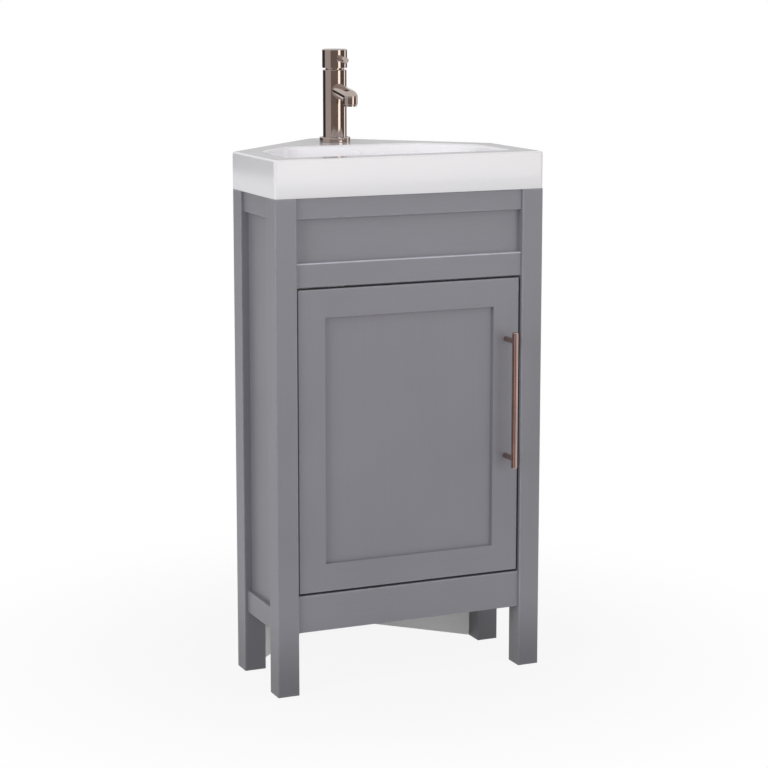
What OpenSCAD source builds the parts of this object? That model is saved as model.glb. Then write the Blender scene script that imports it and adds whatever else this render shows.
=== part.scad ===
// Corner vanity unit: a five-sided frame-and-panel cabinet for a room corner,
// with an inset door on concealed hinges, a cast slab basin, its waste and trap,
// and a single-lever tap. X runs along the front, Y towards the corner, Z up.

/* [Cabinet] */
// Width across the front
vanity_w = 460; // [450:5:480]
// Depth of each short side return
side_d = 188; // [184:2:200]
// Height of the basin rim above the floor
rim_h = 850; // [840:5:870]
// Clear height under the bottom rails
leg_clear = 100; // [90:5:110]
// Side of each square post
post = 36; // [34:1:38]
// Thickness of the frame rails
rail_t = 22; // [20:1:24]
// Setback of the rail faces from the post faces
rail_set = 5; // [4:0.5:6]
// Height of the top rails
top_rail_h = 33; // [30:1:36]
// Height of the false drawer panel that shows between its rails
false_panel_h = 68; // [60:1:72]
// Height of the rail over the door
middle_rail_h = 38; // [34:1:42]
// Height of the rail under the door
bottom_rail_h = 60; // [56:1:64]
// Height of the bottom side rails
side_rail_h = 36; // [34:1:40]
// Thickness of the panels held in grooves
panel_t = 9; // [8:0.5:10]
// Setback of the false drawer panel from the post faces
false_panel_set = 14; // [13:0.5:15]
// Setback of the side panels from the post faces
side_panel_set = 13; // [12:0.5:14]
// Thickness of the boards at the back, floor and shelf
board_t = 15; // [14:1:16]
// Height of the shelf above the floor
shelf_z = 380; // [340:10:420]

/* [Door] */
// Thickness of the door frame
door_t = 18; // [18:0.5:19]
// Gap between the door and the posts
door_gap = 3; // [3:0.25:3.5]
// Gap between the door and the rails
door_gap_z = 3.5; // [3:0.25:4]
// Width of the door's stiles and rails
stile_w = 45; // [42:1:48]
// Setback of the door panel behind the door frame
door_panel_set = 7; // [6:0.5:8]
// Length of the bar handle
handle_l = 222; // [200:2:240]
// Distance between the handle's fixing centres
handle_centres = 192; // [160:32:192]
// Diameter of the handle bar
handle_bar_d = 10; // [10:0.5:12]
// Distance from the door's face to the middle of the handle bar
handle_reach = 33; // [30:1:35]
// Height of the handle's middle above the floor
handle_z = 453; // [430:1:470]

/* [Basin] */
// Height of the basin's slab edge
slab_t = 60; // [55:1:65]
// Thickness of the basin's deck and apron
wall_t = 12; // [11:0.5:13]
// Thickness of the bowl's shell
bowl_t = 9; // [8:0.5:10]
// Width of the front rim
front_rim = 42; // [40:1:46]
// Width of the side rims
side_rim = 40; // [38:1:46]
// Depth of the bowl at the waste
bowl_depth = 92; // [88:1:96]
// Radius of the fillet between the bowl's wall and its floor
bowl_fillet = 28; // [24:1:30]
// Distance from the front of the slab to the middle of the waste
waste_y = 140; // [138:1:142]
// Distance from the front of the slab to the middle of the tap
tap_y = 318; // [316:1:322]

/* [Tap] */
// Diameter of the tap's body
tap_d = 42; // [40:1:44]
// Height of the tap above the deck
tap_h = 155; // [150:1:160]
// Height of the turning cap with the lever
cap_h = 31.5; // [30:0.5:33]
// Gap between the cap and the body
cap_gap = 3; // [2.5:0.25:3.5]
// Diameter of the spout
spout_d = 25; // [24:0.5:26]
// Distance from the tap's axis to the front of the spout
spout_reach = 80; // [76:1:84]
// Slope of the spout below level
spout_slope = 1.5; // [1:0.5:4]
// Slope of the lever below level
lever_slope = 6; // [4:1:8]
// Diameter of the lever pin
lever_d = 10; // [9:0.5:10]
// Distance from the tap's axis to the end of the lever pin
lever_reach = 50; // [46:1:52]

/* [Hidden] */
$fn = 64;

// Heights, from the floor up
half_w = vanity_w / 2;
cabinet_h = rim_h - slab_t;
floor_z = leg_clear + side_rail_h;
door_z0 = leg_clear + bottom_rail_h;
top_rail_z = cabinet_h - top_rail_h;
middle_rail_z = top_rail_z - false_panel_h - middle_rail_h;
door_low = door_z0 + door_gap_z;
door_high = middle_rail_z - door_gap_z;

// Plan, with y counted from the front faces of the posts
inner_x = half_w - post;
corner_y = side_d + half_w;
apex_r = 30;
apex_trim = apex_r * (sqrt(2) - 1);
handle_front = handle_reach + handle_bar_d / 2 - rail_set;
front_y = (handle_front - corner_y + apex_trim) / 2;
panel_x = half_w - side_panel_set;
back_y = inner_x + side_d;
arris_r = 1.5;
arris_steps = 3;
groove = 6;
batten_half = 30;
board_back_y = 300;
shelf_front = 80;
shelf_play = 1;
peg_r = 2.5;
tenon_l = 12;
tenon_t = 8;
tenon_set = (rail_t - tenon_t) / 2;
tenon_shoulder = 8;

// Door
door_x0 = -inner_x + door_gap;
door_x1 = inner_x - door_gap;
door_y = rail_set;
door_back = door_y + door_t;
door_panel_t = 8;
door_groove = 4.5;
door_tenon_l = 25;
handle_x = door_x1 - stile_w / 2;
handle_post_d = 9;
handle_spigot_r = 3;
handle_screw_r = 2;
stop_xs = [40, 150];
stop_w = 30;
stop_t = 12;
stop_gap = 0.4;
stop_lap = 10;

// Hinges, whose pins are placed from the left post's inner face
cup_r = 17.5;
cup_wall = 0.8;
cup_x = door_x0 + 22.5;
cup_floor_y = door_back - 13.3;
flange_t = 0.8;
wing_w = 18;
wing_l = 58;
cup_pin = [-inner_x + 28, door_back - 9.8];
arm_pin = [-inner_x + 40, door_back + 6];
pin_r = 1.5;
pin_play = 0.06;
link_h = 14;
link_t = 4.8;
ear_h = 3;
ear_r = 3;
arm_t = 5;
arm_bend_y = door_back + 30;
arm_flat_y = arm_bend_y + 22;
arm_flat_end = 104;
cup_screw_r = 2;
cup_screw_l = 12;
cup_screw_head_r = 3.8;
cup_screw_z = 24;
plate_screw_r = 2.2;
plate_screw_l = 11;
plate_screw_head_r = 4.2;
plate_screw_z = 20;
plate_screw_y = 84;
clamp_screw_r = 2.5;
plate_y0 = 66;
plate_y1 = 112;
plate_half_h = 9;
plate_wing_w = 16;
plate_wing_half_h = 26;
hinge_block_y1 = 118;
hinge_block_half_h = 40;
hinge_inset = 90;
hinge_zs = [door_low + hinge_inset, door_high - hinge_inset];
plate_t = 3;
arm_low_x = -inner_x + plate_t;

// Basin
deck_z = rim_h - wall_t;
waste_hole_r = 22.5;
waste_seat_r = 32;
bowl_floor_z = rim_h - bowl_depth;
seat_z = bowl_floor_z - bowl_t - 6;
bowl_back_y = 240;
bowl_corner = 152;
// Directions of the bowl's six walls and their distances from the waste
bowl_walls = [
    [0, half_w - side_rim],
    [45, bowl_corner],
    [90, bowl_back_y - waste_y],
    [135, bowl_corner],
    [180, half_w - side_rim],
    [270, waste_y - front_rim]
];
bowl_steps = 72;
lip_r = 5;
lip_steps = 3;
fillet_steps = 5;
floor_steps = 3;
corner_power = 20;
fillet_power = 10;
floor_power = 2;
wall_taper = 10;
wall_drop = bowl_depth - 6 - bowl_fillet;
overflow_z = rim_h - 34;
overflow_r = 11;
overflow_sides = 48;
overflow_ring_t = 1.5;
duct_w = 30;
duct_y = bowl_back_y + 19;
duct_wall = 6;
down_bore_r = 8;
cross_bore_r = 4;
seat_boss_r = 34;

// Waste and trap
waste_tube_r = 20;
waste_tube_in = 17;
waste_low = rim_h - bowl_depth - 62;
waste_flange_r = 31;
waste_slot = [12, 8];
washer_t = [2, 4];
washer_r = [30.5, 32];
nut_r = 31;
nut_h = 8;
plug_r = 29;
plug_gap = 4.5;
stem_r = 5;
stem_l = 44;
stem_play = 0.06;
bridge_h = 10;
bridge_arm = [3, 6];
spider_z = bowl_floor_z - 26;
trap_r = 27;
trap_wall = 3;
trap_top = 684;
trap_low = 592;
bottle_low = 560;
bottle_over = 14;
dip_r = 13;
dip_t = 2;
trap_roof = 8;
grip_r = 2.4;
trap_nut_h = 22;
outlet_nut_h = 20;
outlet_nut_r = 23;
outlet_nut_at = trap_r + 13;
collar_at = 60;
outlet_z = 655;
outlet_r = 16;
outlet_wall = 2;
outlet_turn = 45;
outlet_l = (corner_y - 6 - waste_y) / sqrt(2);
service_low = 540;
service_high = 720;
service_half = 70;
service_at = (back_y - waste_y) / 2;
wall_screw_r = 3.5;
wall_screw_z = 752;
wall_screw_x = 150;

// Tap
tap_r = tap_d / 2;
body_r = tap_r - 1;
flange_r = 26;
flange_h = 8;
tap_top = rim_h + tap_h;
cap_z = tap_top - cap_h;
body_top = cap_z - cap_gap;
bore_r = 17.5;
cap_bore_h = 19;
cartridge_h = 37;
mixing_r = 6;
spout_z = tap_top - 75;
lever_z = tap_top - 12.5;
lever_peg_r = 3.5;
pivot_z = cap_z + 5;
pivot_r = 2;
spindle_r = 7;
spindle_play = 0.06;
relief_slope = 12;
waterway_r = 8;
collar_r = 15.5;
aerator_r = 10.5;
aerator_wall = 1.6;
jet_r = 1.3;
jet_at = 5;
aerator_drop = 3;
housing_r = spout_d / 2 - 0.5;
aerator_y = spout_reach - housing_r;
aerator_z = spout_z - aerator_y * tan(spout_slope);
tap_hole_r = 17.5;
shank_r = 16;
shank_low = deck_z - 44;
inlet_r = 5;
inlet_l = 15;

// Colours
paint = [0.50, 0.50, 0.53];
board = [0.76, 0.76, 0.75];
glaze = [0.95, 0.95, 0.96];
bronze = [0.60, 0.48, 0.43];
copper = [0.62, 0.40, 0.35];
steel = [0.75, 0.76, 0.78];
rubber_black = [0.12, 0.12, 0.12];
plastic = [0.93, 0.93, 0.92];
brass = [0.78, 0.65, 0.36];

// ---- Placing and profile helpers ----

// Sets a piece drawn from the posts' front faces into the unit's frame
module set_back() {
    translate([0, front_y, 0])
        children();
}

// Keeps the right-hand drawing for side 1 and mirrors it for side -1
module on_side(side) {
    if (side > 0) children();
    else mirror([1, 0, 0]) children();
}

// A block from its lowest to its highest corner
module block(low, high) {
    translate(low)
        cube(high - low);
}

// Points of an arc of radius r that rounds corner b between a and c
function corner_arc(a, b, c, r, n) =
    let (
        u1 = (a - b) / norm(a - b),
        u2 = (c - b) / norm(c - b),
        half = acos(u1 * u2) / 2,
        mid = (u1 + u2) / norm(u1 + u2),
        centre = b + mid * r / sin(half),
        start = b + u1 * r / tan(half) - centre,
        end = b + u2 * r / tan(half) - centre,
        from = atan2(start[1], start[0]),
        sweep = (atan2(end[1], end[0]) - from + 540) % 360 - 180
    )
    [for (i = [0:n]) centre + r * [cos(from + sweep * i / n), sin(from + sweep * i / n)]];

// An outline with each corner rounded by its own radius
function rounded(points, radii, n) =
    let (last = len(points) - 1)
    [
        for (i = [0:last])
            each corner_arc(
                points[i == 0 ? last : i - 1],
                points[i],
                points[i == last ? 0 : i + 1],
                radii[i],
                n
            )
    ];

// An arc of radius r about a centre, from one angle to another
function arc(centre, r, from, to) = [
    for (i = [0:arris_steps])
        let (a = from + (to - from) * i / arris_steps)
        centre + r * [cos(a), sin(a)]
];

// A bar's section: its face at x = 0 has both edges eased, its back at x = d is square
function bar_section(d, h) = [
    [d, 0],
    [d, h],
    each arc([arris_r, h - arris_r], arris_r, 90, 180),
    each arc([arris_r, arris_r], arris_r, 180, 270)
];

// A square post's section with four eased edges
function post_section(x, y) =
    let (a = arris_r, b = post - arris_r)
    [
        each arc([x + b, y + b], a, 0, 90),
        each arc([x + a, y + b], a, 90, 180),
        each arc([x + a, y + a], a, 180, 270),
        each arc([x + b, y + a], a, 270, 360)
    ];

// The five-sided plan, drawn in by d on every side
function unit_plan(d) =
    let (x = half_w - d, y = side_d - d * (sqrt(2) - 1))
    [[-x, d], [x, d], [x, y], [0, corner_y - d * sqrt(2)], [-x, y]];

// ---- Frame ----

module rail_mortise(z, h) {
    block([inner_x - 1, rail_set + tenon_set, z + tenon_shoulder],
          [inner_x + tenon_l, rail_set + tenon_set + tenon_t, z + h - tenon_shoulder]);
}

module side_mortise(y0, y1, z, h) {
    block([half_w - rail_set - tenon_set - tenon_t, y0, z + tenon_shoulder],
          [half_w - rail_set - tenon_set, y1, z + h - tenon_shoulder]);
}

module side_groove(y0, y1) {
    block([panel_x - panel_t, y0, floor_z - groove],
          [panel_x, y1, top_rail_z + groove]);
}

module front_post() {
    difference() {
        linear_extrude(cabinet_h)
            polygon(post_section(inner_x, 0));
        rail_mortise(top_rail_z, top_rail_h);
        rail_mortise(middle_rail_z, middle_rail_h);
        rail_mortise(leg_clear, bottom_rail_h);
        block([inner_x - 1, false_panel_set, middle_rail_z + middle_rail_h - groove],
              [inner_x + groove, false_panel_set + panel_t, top_rail_z + groove]);
        side_groove(post - groove, post + 1);
        side_mortise(post - tenon_l, post + 1, top_rail_z, top_rail_h);
        side_mortise(post - tenon_l, post + 1, leg_clear, side_rail_h);
    }
}

module rear_post() {
    difference() {
        linear_extrude(cabinet_h)
            polygon(post_section(inner_x, side_d - post));
        side_groove(side_d - post - 1, side_d - post + groove);
        side_mortise(side_d - post - 1, side_d - post + tenon_l, top_rail_z, top_rail_h);
        side_mortise(side_d - post - 1, side_d - post + tenon_l, leg_clear, side_rail_h);
        peg_hole(inner_x - 1, inner_x + 8, side_d - post / 2);
    }
}

// A level hole of the pegs' size from x0 to x1
module peg_hole(x0, x1, y) {
    translate([x0, y, shelf_z - peg_r])
        rotate([0, 90, 0])
            cylinder(r = peg_r, h = x1 - x0);
}

module front_left_post() {
    color(paint) set_back() on_side(-1) front_post();
}

module front_right_post() {
    color(paint) set_back() on_side(1) front_post();
}

module rear_left_post() {
    color(paint) set_back() on_side(-1) rear_post();
}

module rear_right_post() {
    color(paint) set_back() on_side(1) rear_post();
}

// A front rail with a tenon at each end
module front_rail(z, h) {
    translate([-inner_x, rail_set, z])
        rotate([90, 0, 90])
            linear_extrude(2 * inner_x)
                polygon(bar_section(rail_t, h));
    block([-inner_x - tenon_l, rail_set + tenon_set, z + tenon_shoulder],
          [inner_x + tenon_l, rail_set + tenon_set + tenon_t, z + h - tenon_shoulder]);
}

module false_panel_blank() {
    block([-inner_x - groove, false_panel_set, middle_rail_z + middle_rail_h - groove],
          [inner_x + groove, false_panel_set + panel_t, top_rail_z + groove]);
}

module top_front_rail() {
    color(paint) set_back() difference() {
        front_rail(top_rail_z, top_rail_h);
        false_panel_blank();
    }
}

module middle_front_rail() {
    color(paint) set_back() difference() {
        front_rail(middle_rail_z, middle_rail_h);
        false_panel_blank();
    }
}

module bottom_front_rail() {
    color(paint) set_back() front_rail(leg_clear, bottom_rail_h);
}

module false_drawer_panel() {
    color(paint) set_back() false_panel_blank();
}

// A side rail with its tenons, and the groove that holds the side panel
module side_rail(z, h) {
    x1 = half_w - rail_set;
    difference() {
        union() {
            translate([x1, side_d - post, z])
                rotate([90, 0, 0])
                    mirror([1, 0, 0])
                        linear_extrude(side_d - 2 * post)
                            polygon(bar_section(rail_t, h));
            side_mortise(post - tenon_l, side_d - post + tenon_l, z, h);
        }
        side_panel_blank();
    }
}

module side_panel_blank() {
    side_groove(post - groove, side_d - post + groove);
}

module side_panel() {
    difference() {
        side_panel_blank();
        peg_hole(inner_x, panel_x - 3, shelf_front + 15);
    }
}

module left_top_rail() {
    color(paint) set_back() on_side(-1) side_rail(top_rail_z, top_rail_h);
}

module left_bottom_rail() {
    color(paint) set_back() on_side(-1) side_rail(leg_clear, side_rail_h);
}

module left_side_panel() {
    color(paint) set_back() on_side(-1) side_panel();
}

module right_top_rail() {
    color(paint) set_back() on_side(1) side_rail(top_rail_z, top_rail_h);
}

module right_bottom_rail() {
    color(paint) set_back() on_side(1) side_rail(leg_clear, side_rail_h);
}

module right_side_panel() {
    color(paint) set_back() on_side(1) side_panel();
}

// ---- Back, floor and shelf ----

// Lines up with the middle of a back panel: x runs along it, y through it
module on_back_panel(x) {
    translate([x, back_y - x, 0])
        rotate([0, 0, -45])
            children();
}

module back_panel() {
    outer = board_t * sqrt(2);
    difference() {
        linear_extrude(cabinet_h)
            polygon([
                [inner_x, side_d],
                [inner_x + outer, side_d],
                [0, back_y + outer],
                [0, back_y]
            ]);
        on_back_panel(service_at)
            block([-service_half, -1, service_low], [service_half, board_t + 1, service_high]);
        translate([0, 0, wall_screw_z])
            on_back_panel(wall_screw_x)
                rotate([-90, 0, 0])
                    translate([0, 0, -1])
                        cylinder(r = wall_screw_r, h = board_t + 2);
    }
}

module left_back_panel() {
    color(board) set_back() on_side(-1) back_panel();
}

module right_back_panel() {
    color(board) set_back() on_side(1) back_panel();
}

module corner_batten() {
    color(board) set_back()
        linear_extrude(cabinet_h - 10)
            polygon([[-batten_half, back_y - batten_half], [batten_half, back_y - batten_half], [0, back_y]]);
}

// Half of the plan inside the frame, from the middle of the front to the back, where
// the corner is left open for the supply pipes
function inside_half(y0, side_x, play) = [
    [0, y0],
    [y0 < post ? inner_x : side_x, y0],
    each y0 < post ? [[inner_x, post + play], [side_x, post + play]] : [],
    [side_x, side_d - post - play],
    [inner_x - play, side_d - post - play],
    [inner_x - play, side_d - play],
    [back_y - board_back_y - play, board_back_y],
    [0, board_back_y]
];

module inside_board(y0, side_x, play, z, t) {
    translate([0, 0, z])
        for (side = [-1, 1])
            on_side(side)
                linear_extrude(t)
                    polygon(inside_half(y0, side_x, play));
}

module cabinet_floor() {
    color(board) set_back()
        inside_board(rail_set + rail_t, panel_x - panel_t, 0, floor_z, board_t);
}

module shelf() {
    color(board) set_back()
        inside_board(shelf_front, panel_x - panel_t - shelf_play, shelf_play, shelf_z, board_t);
}

// Four steel pegs: two in the side panels and two in the rear posts
module shelf_pegs() {
    color(steel) set_back()
        for (side = [-1, 1])
            on_side(side) {
                peg_hole(inner_x + 3, panel_x - 3, shelf_front + 15);
                peg_hole(inner_x - 9, inner_x + 8, side_d - post / 2);
            }
}

// Packers that bring the hinge plates out to the post's inner face
module hinge_blocks() {
    color(board) set_back() difference() {
        for (z = hinge_zs)
            block([-panel_x + panel_t, post, z - hinge_block_half_h],
                  [-inner_x, hinge_block_y1, z + hinge_block_half_h]);
        for (z = hinge_zs, side = [-1, 1])
            translate([-inner_x - plate_screw_l, plate_screw_y, z + side * plate_screw_z])
                rotate([0, 90, 0])
                    cylinder(r = plate_screw_r, h = plate_screw_l + 1);
    }
}

// Two blocks behind the middle rail that the door closes against
module door_stops() {
    rail_back = rail_set + rail_t;
    half = stop_w / 2;
    color(paint) set_back()
        for (x = stop_xs)
            difference() {
                block([x - half, door_back + stop_gap, door_high - stop_lap],
                      [x + half, rail_back + stop_t, door_high + 26]);
                block([x - half - 1, rail_set, middle_rail_z], [x + half + 1, rail_back, cabinet_h]);
            }
}

// ---- Door ----

// Keeps what lies within the door's outline, whose front edges are eased all round
module within_door() {
    intersection() {
        children();
        translate([door_x0, door_y, door_low])
            rotate([90, 0, 90])
                linear_extrude(door_x1 - door_x0)
                    polygon(bar_section(door_t, door_high - door_low));
        translate([door_x0, door_y, door_high])
            rotate([180, 0, 90])
                linear_extrude(door_high - door_low)
                    polygon(bar_section(door_t, door_x1 - door_x0));
    }
}

module stile(x0) {
    difference() {
        within_door()
            block([x0, door_y, door_low], [x0 + stile_w, door_back, door_high]);
        door_panel_blank();
        door_rail_tenons(door_low);
        door_rail_tenons(door_high - stile_w);
    }
}

module door_rail_tenons(z) {
    tenon_y = door_y + door_panel_set;
    block([door_x0 + stile_w - door_tenon_l, tenon_y, z + tenon_shoulder],
          [door_x1 - stile_w + door_tenon_l, tenon_y + door_panel_t, z + stile_w - tenon_shoulder]);
}

// A door rail with tenons that run into the stiles, and the groove for the panel
module door_rail(z) {
    difference() {
        union() {
            within_door()
                block([door_x0 + stile_w, door_y, z], [door_x1 - stile_w, door_back, z + stile_w]);
            door_rail_tenons(z);
        }
        door_panel_blank();
    }
}

module door_panel_blank() {
    inset = stile_w - door_groove;
    y0 = door_y + door_panel_set;
    block([door_x0 + inset, y0, door_low + inset], [door_x1 - inset, y0 + door_panel_t, door_high - inset]);
}

module door_left_stile() {
    color(paint) set_back() difference() {
        stile(door_x0);
        for (z = hinge_zs) {
            cup_bore(z);
            for (side = [-1, 1])
                translate([cup_x, door_back - cup_screw_l, z + side * cup_screw_z])
                    rotate([-90, 0, 0])
                        cylinder(r = cup_screw_r, h = cup_screw_l + 1);
        }
    }
}

module cup_bore(z) {
    translate([cup_x, cup_floor_y, z])
        rotate([-90, 0, 0])
            cylinder(r = cup_r, h = door_t);
}

module door_right_stile() {
    color(paint) set_back() difference() {
        stile(door_x1 - stile_w);
        for (side = [-1, 1])
            translate([handle_x, door_y - 1, handle_z + side * handle_centres / 2])
                rotate([-90, 0, 0])
                    cylinder(r = handle_screw_r + 0.3, h = door_t + 2);
    }
}

module door_top_rail() {
    color(paint) set_back() door_rail(door_high - stile_w);
}

module door_bottom_rail() {
    color(paint) set_back() door_rail(door_low);
}

module door_panel() {
    color(paint) set_back() door_panel_blank();
}

// ---- Handle ----

module handle_bar() {
    r = handle_bar_d / 2;
    color(copper) set_back()
        translate([handle_x, door_y - handle_reach, handle_z - handle_l / 2])
            difference() {
                rotate_extrude()
                    polygon([[0, 0], [r - 1, 0], [r, 1], [r, handle_l - 1], [r - 1, handle_l], [0, handle_l]]);
                for (side = [-1, 1])
                    translate([0, 0, handle_l / 2 + side * handle_centres / 2])
                        rotate([-90, 0, 0])
                            cylinder(r = handle_spigot_r, h = r + 1);
            }
}

// Two round posts, saddled on the bar, spigoted into it and tapped for their screws
module handle_posts() {
    bar_r = handle_bar_d / 2;
    color(copper) set_back()
        for (side = [-1, 1])
            translate([handle_x, door_y - handle_reach, handle_z + side * handle_centres / 2])
                rotate([-90, 0, 0])
                    difference() {
                        union() {
                            cylinder(r = handle_spigot_r, h = handle_reach);
                            difference() {
                                cylinder(r = handle_post_d / 2, h = handle_reach);
                                rotate([90, 0, 0])
                                    cylinder(r = bar_r, h = 2 * handle_post_d, center = true);
                            }
                        }
                        translate([0, 0, handle_reach - 14])
                            cylinder(r = handle_screw_r, h = 15);
                    }
}

module handle_screws() {
    color(steel) set_back()
        for (side = [-1, 1])
            translate([handle_x, door_back, handle_z + side * handle_centres / 2])
                rotate([-90, 0, 0])
                    difference() {
                        union() {
                            translate([0, 0, -door_t - 13])
                                cylinder(r = handle_screw_r, h = door_t + 13);
                            cylinder(r = 4.5, h = 2.6);
                        }
                        for (turn = [0, 90])
                            rotate([0, 0, turn])
                                translate([-2.5, -0.5, 1.2])
                                    cube([5, 1, 2]);
                    }
}

// ---- Concealed hinges ----

// Cup pressed into the stile, with its two screw wings
module hinge_cups() {
    color(steel) set_back()
        for (z = hinge_zs)
            translate([cup_x, cup_floor_y, z])
                rotate([-90, 0, 0])
                    difference() {
                        union() {
                            cylinder(r = cup_r, h = door_back - cup_floor_y);
                            translate([0, 0, door_back - cup_floor_y])
                                cup_wings();
                        }
                        translate([0, 0, cup_wall])
                            cylinder(r = cup_r - cup_wall, h = door_t);
                        translate([cup_pin[0] - cup_x, 0, cup_pin[1] - cup_floor_y])
                            rotate([90, 0, 0])
                                translate([0, 0, -cup_r])
                                    cylinder(r = pin_r + pin_play, h = 2 * cup_r);
                    }
}

module cup_wings() {
    difference() {
        union() {
            cylinder(r = cup_r + 0.8, h = flange_t);
            translate([-wing_w / 2, -wing_l / 2, 0])
                cube([wing_w, wing_l, flange_t]);
        }
        for (side = [-1, 1])
            translate([0, side * cup_screw_z, -1])
                cylinder(r = cup_screw_r, h = flange_t + 2);
    }
}

module hinge_cup_screws() {
    color(steel) set_back()
        for (z = hinge_zs, side = [-1, 1])
            translate([cup_x, door_back, z + side * cup_screw_z])
                rotate([-90, 0, 0])
                    screw(cup_screw_r, cup_screw_l, cup_screw_head_r, flange_t);
}

// A pan-head screw: shank below z = 0, head resting on a plate of thickness t
module screw(r, l, head_r, t) {
    difference() {
        union() {
            translate([0, 0, -l])
                cylinder(r = r, h = l + t);
            translate([0, 0, t])
                cylinder(r = head_r, h = 1.8);
        }
        for (turn = [0, 90])
            rotate([0, 0, turn])
                translate([-head_r * 0.6, -0.4, t + 0.7])
                    cube([head_r * 1.2, 0.8, 2]);
    }
}

// Swinging link between the arm's pin and the cup's pin
module hinge_links() {
    run = arm_pin - cup_pin;
    color(steel) set_back()
        for (z = hinge_zs)
            translate([cup_pin[0], cup_pin[1], z - link_h / 2])
                rotate([0, 0, atan2(run[1], run[0])])
                    difference() {
                        union() {
                            translate([0, -link_t / 2, 0])
                                cube([norm(run), link_t, link_h]);
                            for (x = [0, norm(run)])
                                translate([x, 0, 0])
                                    cylinder(r = link_t / 2, h = link_h);
                        }
                        for (x = [0, norm(run)])
                            translate([x, 0, -1])
                                cylinder(r = pin_r, h = link_h + 2);
                    }
}

// Upright pins, tight in the links: a long one across each cup and a short one in each arm
module hinge_pins() {
    cup_half = sqrt(pow(cup_r - cup_wall / 2, 2) - pow(cup_pin[0] - cup_x, 2));
    arm_half = link_h / 2 + ear_h;
    color(brass) set_back()
        for (z = hinge_zs) {
            translate([cup_pin[0], cup_pin[1], z - cup_half])
                cylinder(r = pin_r, h = 2 * cup_half);
            translate([arm_pin[0], arm_pin[1], z - arm_half])
                cylinder(r = pin_r, h = 2 * arm_half);
        }
}

// Cranked arm: an eye over and under the link, a bend, and a flat on the plate
module arm_profile() {
    x = arm_pin[0];
    polygon([
        [x - arm_t / 2, arm_pin[1]],
        [x + arm_t / 2, arm_pin[1]],
        [x + arm_t / 2, arm_bend_y + 2],
        [arm_low_x + arm_t, arm_flat_y + 2],
        [arm_low_x + arm_t, arm_flat_end],
        [arm_low_x, arm_flat_end],
        [arm_low_x, arm_flat_y],
        [x - arm_t / 2, arm_bend_y]
    ]);
}

module hinge_arms() {
    half = link_h / 2 + ear_h;
    slot_y = arm_pin[1] + link_t / 2 + 1.5;
    color(steel) set_back()
        for (z = hinge_zs)
            difference() {
                translate([0, 0, z - half])
                    union() {
                        linear_extrude(2 * half)
                            arm_profile();
                        translate([arm_pin[0], arm_pin[1], 0])
                            cylinder(r = ear_r, h = 2 * half);
                    }
                block([arm_pin[0] - 8, arm_pin[1] - 8, z - link_h / 2 - 0.3],
                      [arm_pin[0] + 8, slot_y, z + link_h / 2 + 0.3]);
                translate([arm_pin[0], arm_pin[1], z - half - 1])
                    cylinder(r = pin_r + pin_play, h = 2 * half + 2);
                translate([arm_low_x, plate_screw_y, z])
                    rotate([0, 90, 0])
                        cylinder(r = clamp_screw_r, h = arm_t + 1);
            }
}

// Cross-shaped mounting plate screwed to the packer
module hinge_plates() {
    color(steel) set_back()
        for (z = hinge_zs)
            translate([-inner_x, 0, z])
                difference() {
                    union() {
                        block([0, plate_y0, -plate_half_h], [plate_t, plate_y1, plate_half_h]);
                        block([0, plate_screw_y - plate_wing_w / 2, -plate_wing_half_h],
                              [plate_t, plate_screw_y + plate_wing_w / 2, plate_wing_half_h]);
                    }
                    for (side = [-1, 1])
                        translate([-1, plate_screw_y, side * plate_screw_z])
                            rotate([0, 90, 0])
                                cylinder(r = plate_screw_r, h = plate_t + 2);
                    translate([-1, plate_screw_y, 0])
                        rotate([0, 90, 0])
                            cylinder(r = clamp_screw_r, h = plate_t + 2);
                }
}

module hinge_plate_screws() {
    color(steel) set_back()
        for (z = hinge_zs) {
            for (side = [-1, 1])
                translate([-inner_x, plate_screw_y, z + side * plate_screw_z])
                    rotate([0, 90, 0])
                        screw(plate_screw_r, plate_screw_l, plate_screw_head_r, plate_t);
            translate([-inner_x, plate_screw_y, z])
                rotate([0, 90, 0])
                    screw(clamp_screw_r, 0, 4.4, plate_t + arm_t);
        }
}

// ---- Basin ----

// Distance from the waste to the bowl's wall in one direction. The six walls are
// blended by a power mean, which rounds the corners between them.
function bowl_reach(angle, inset, blend, power) =
    let (
        parts = [
            for (w = bowl_walls)
                let (reach = (w[1] - inset) * (1 - blend) + waste_hole_r * blend)
                pow(max(0, cos(angle - w[0])) / reach, power)
        ]
    )
    pow(total(parts), -1 / power);

function total(list, i = 0) = i == len(list) ? 0 : list[i] + total(list, i + 1);

// One level of the bowl: its points at the given depth below the rim
function bowl_ring(depth, inset, blend, power) = [
    for (i = [0:bowl_steps - 1])
        let (a = 360 * i / bowl_steps, r = bowl_reach(a, inset, blend, power))
        [r * cos(a), waste_y + r * sin(a), rim_h - depth]
];

// A closed skin through rings of equal length, listed from the top down
module loft(rings) {
    n = len(rings[0]);
    m = len(rings);
    polyhedron(
        points = [for (ring = rings) each ring],
        faces = [
            [for (i = [n - 1:-1:0]) i],
            [for (i = [0:n - 1]) (m - 1) * n + i],
            for (j = [0:m - 2], i = [0:n - 1])
                let (k = (i + 1) % n)
                each [
                    [j * n + i, j * n + k, (j + 1) * n + k],
                    [j * n + i, (j + 1) * n + k, (j + 1) * n + i]
                ]
        ]
    );
}

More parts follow.
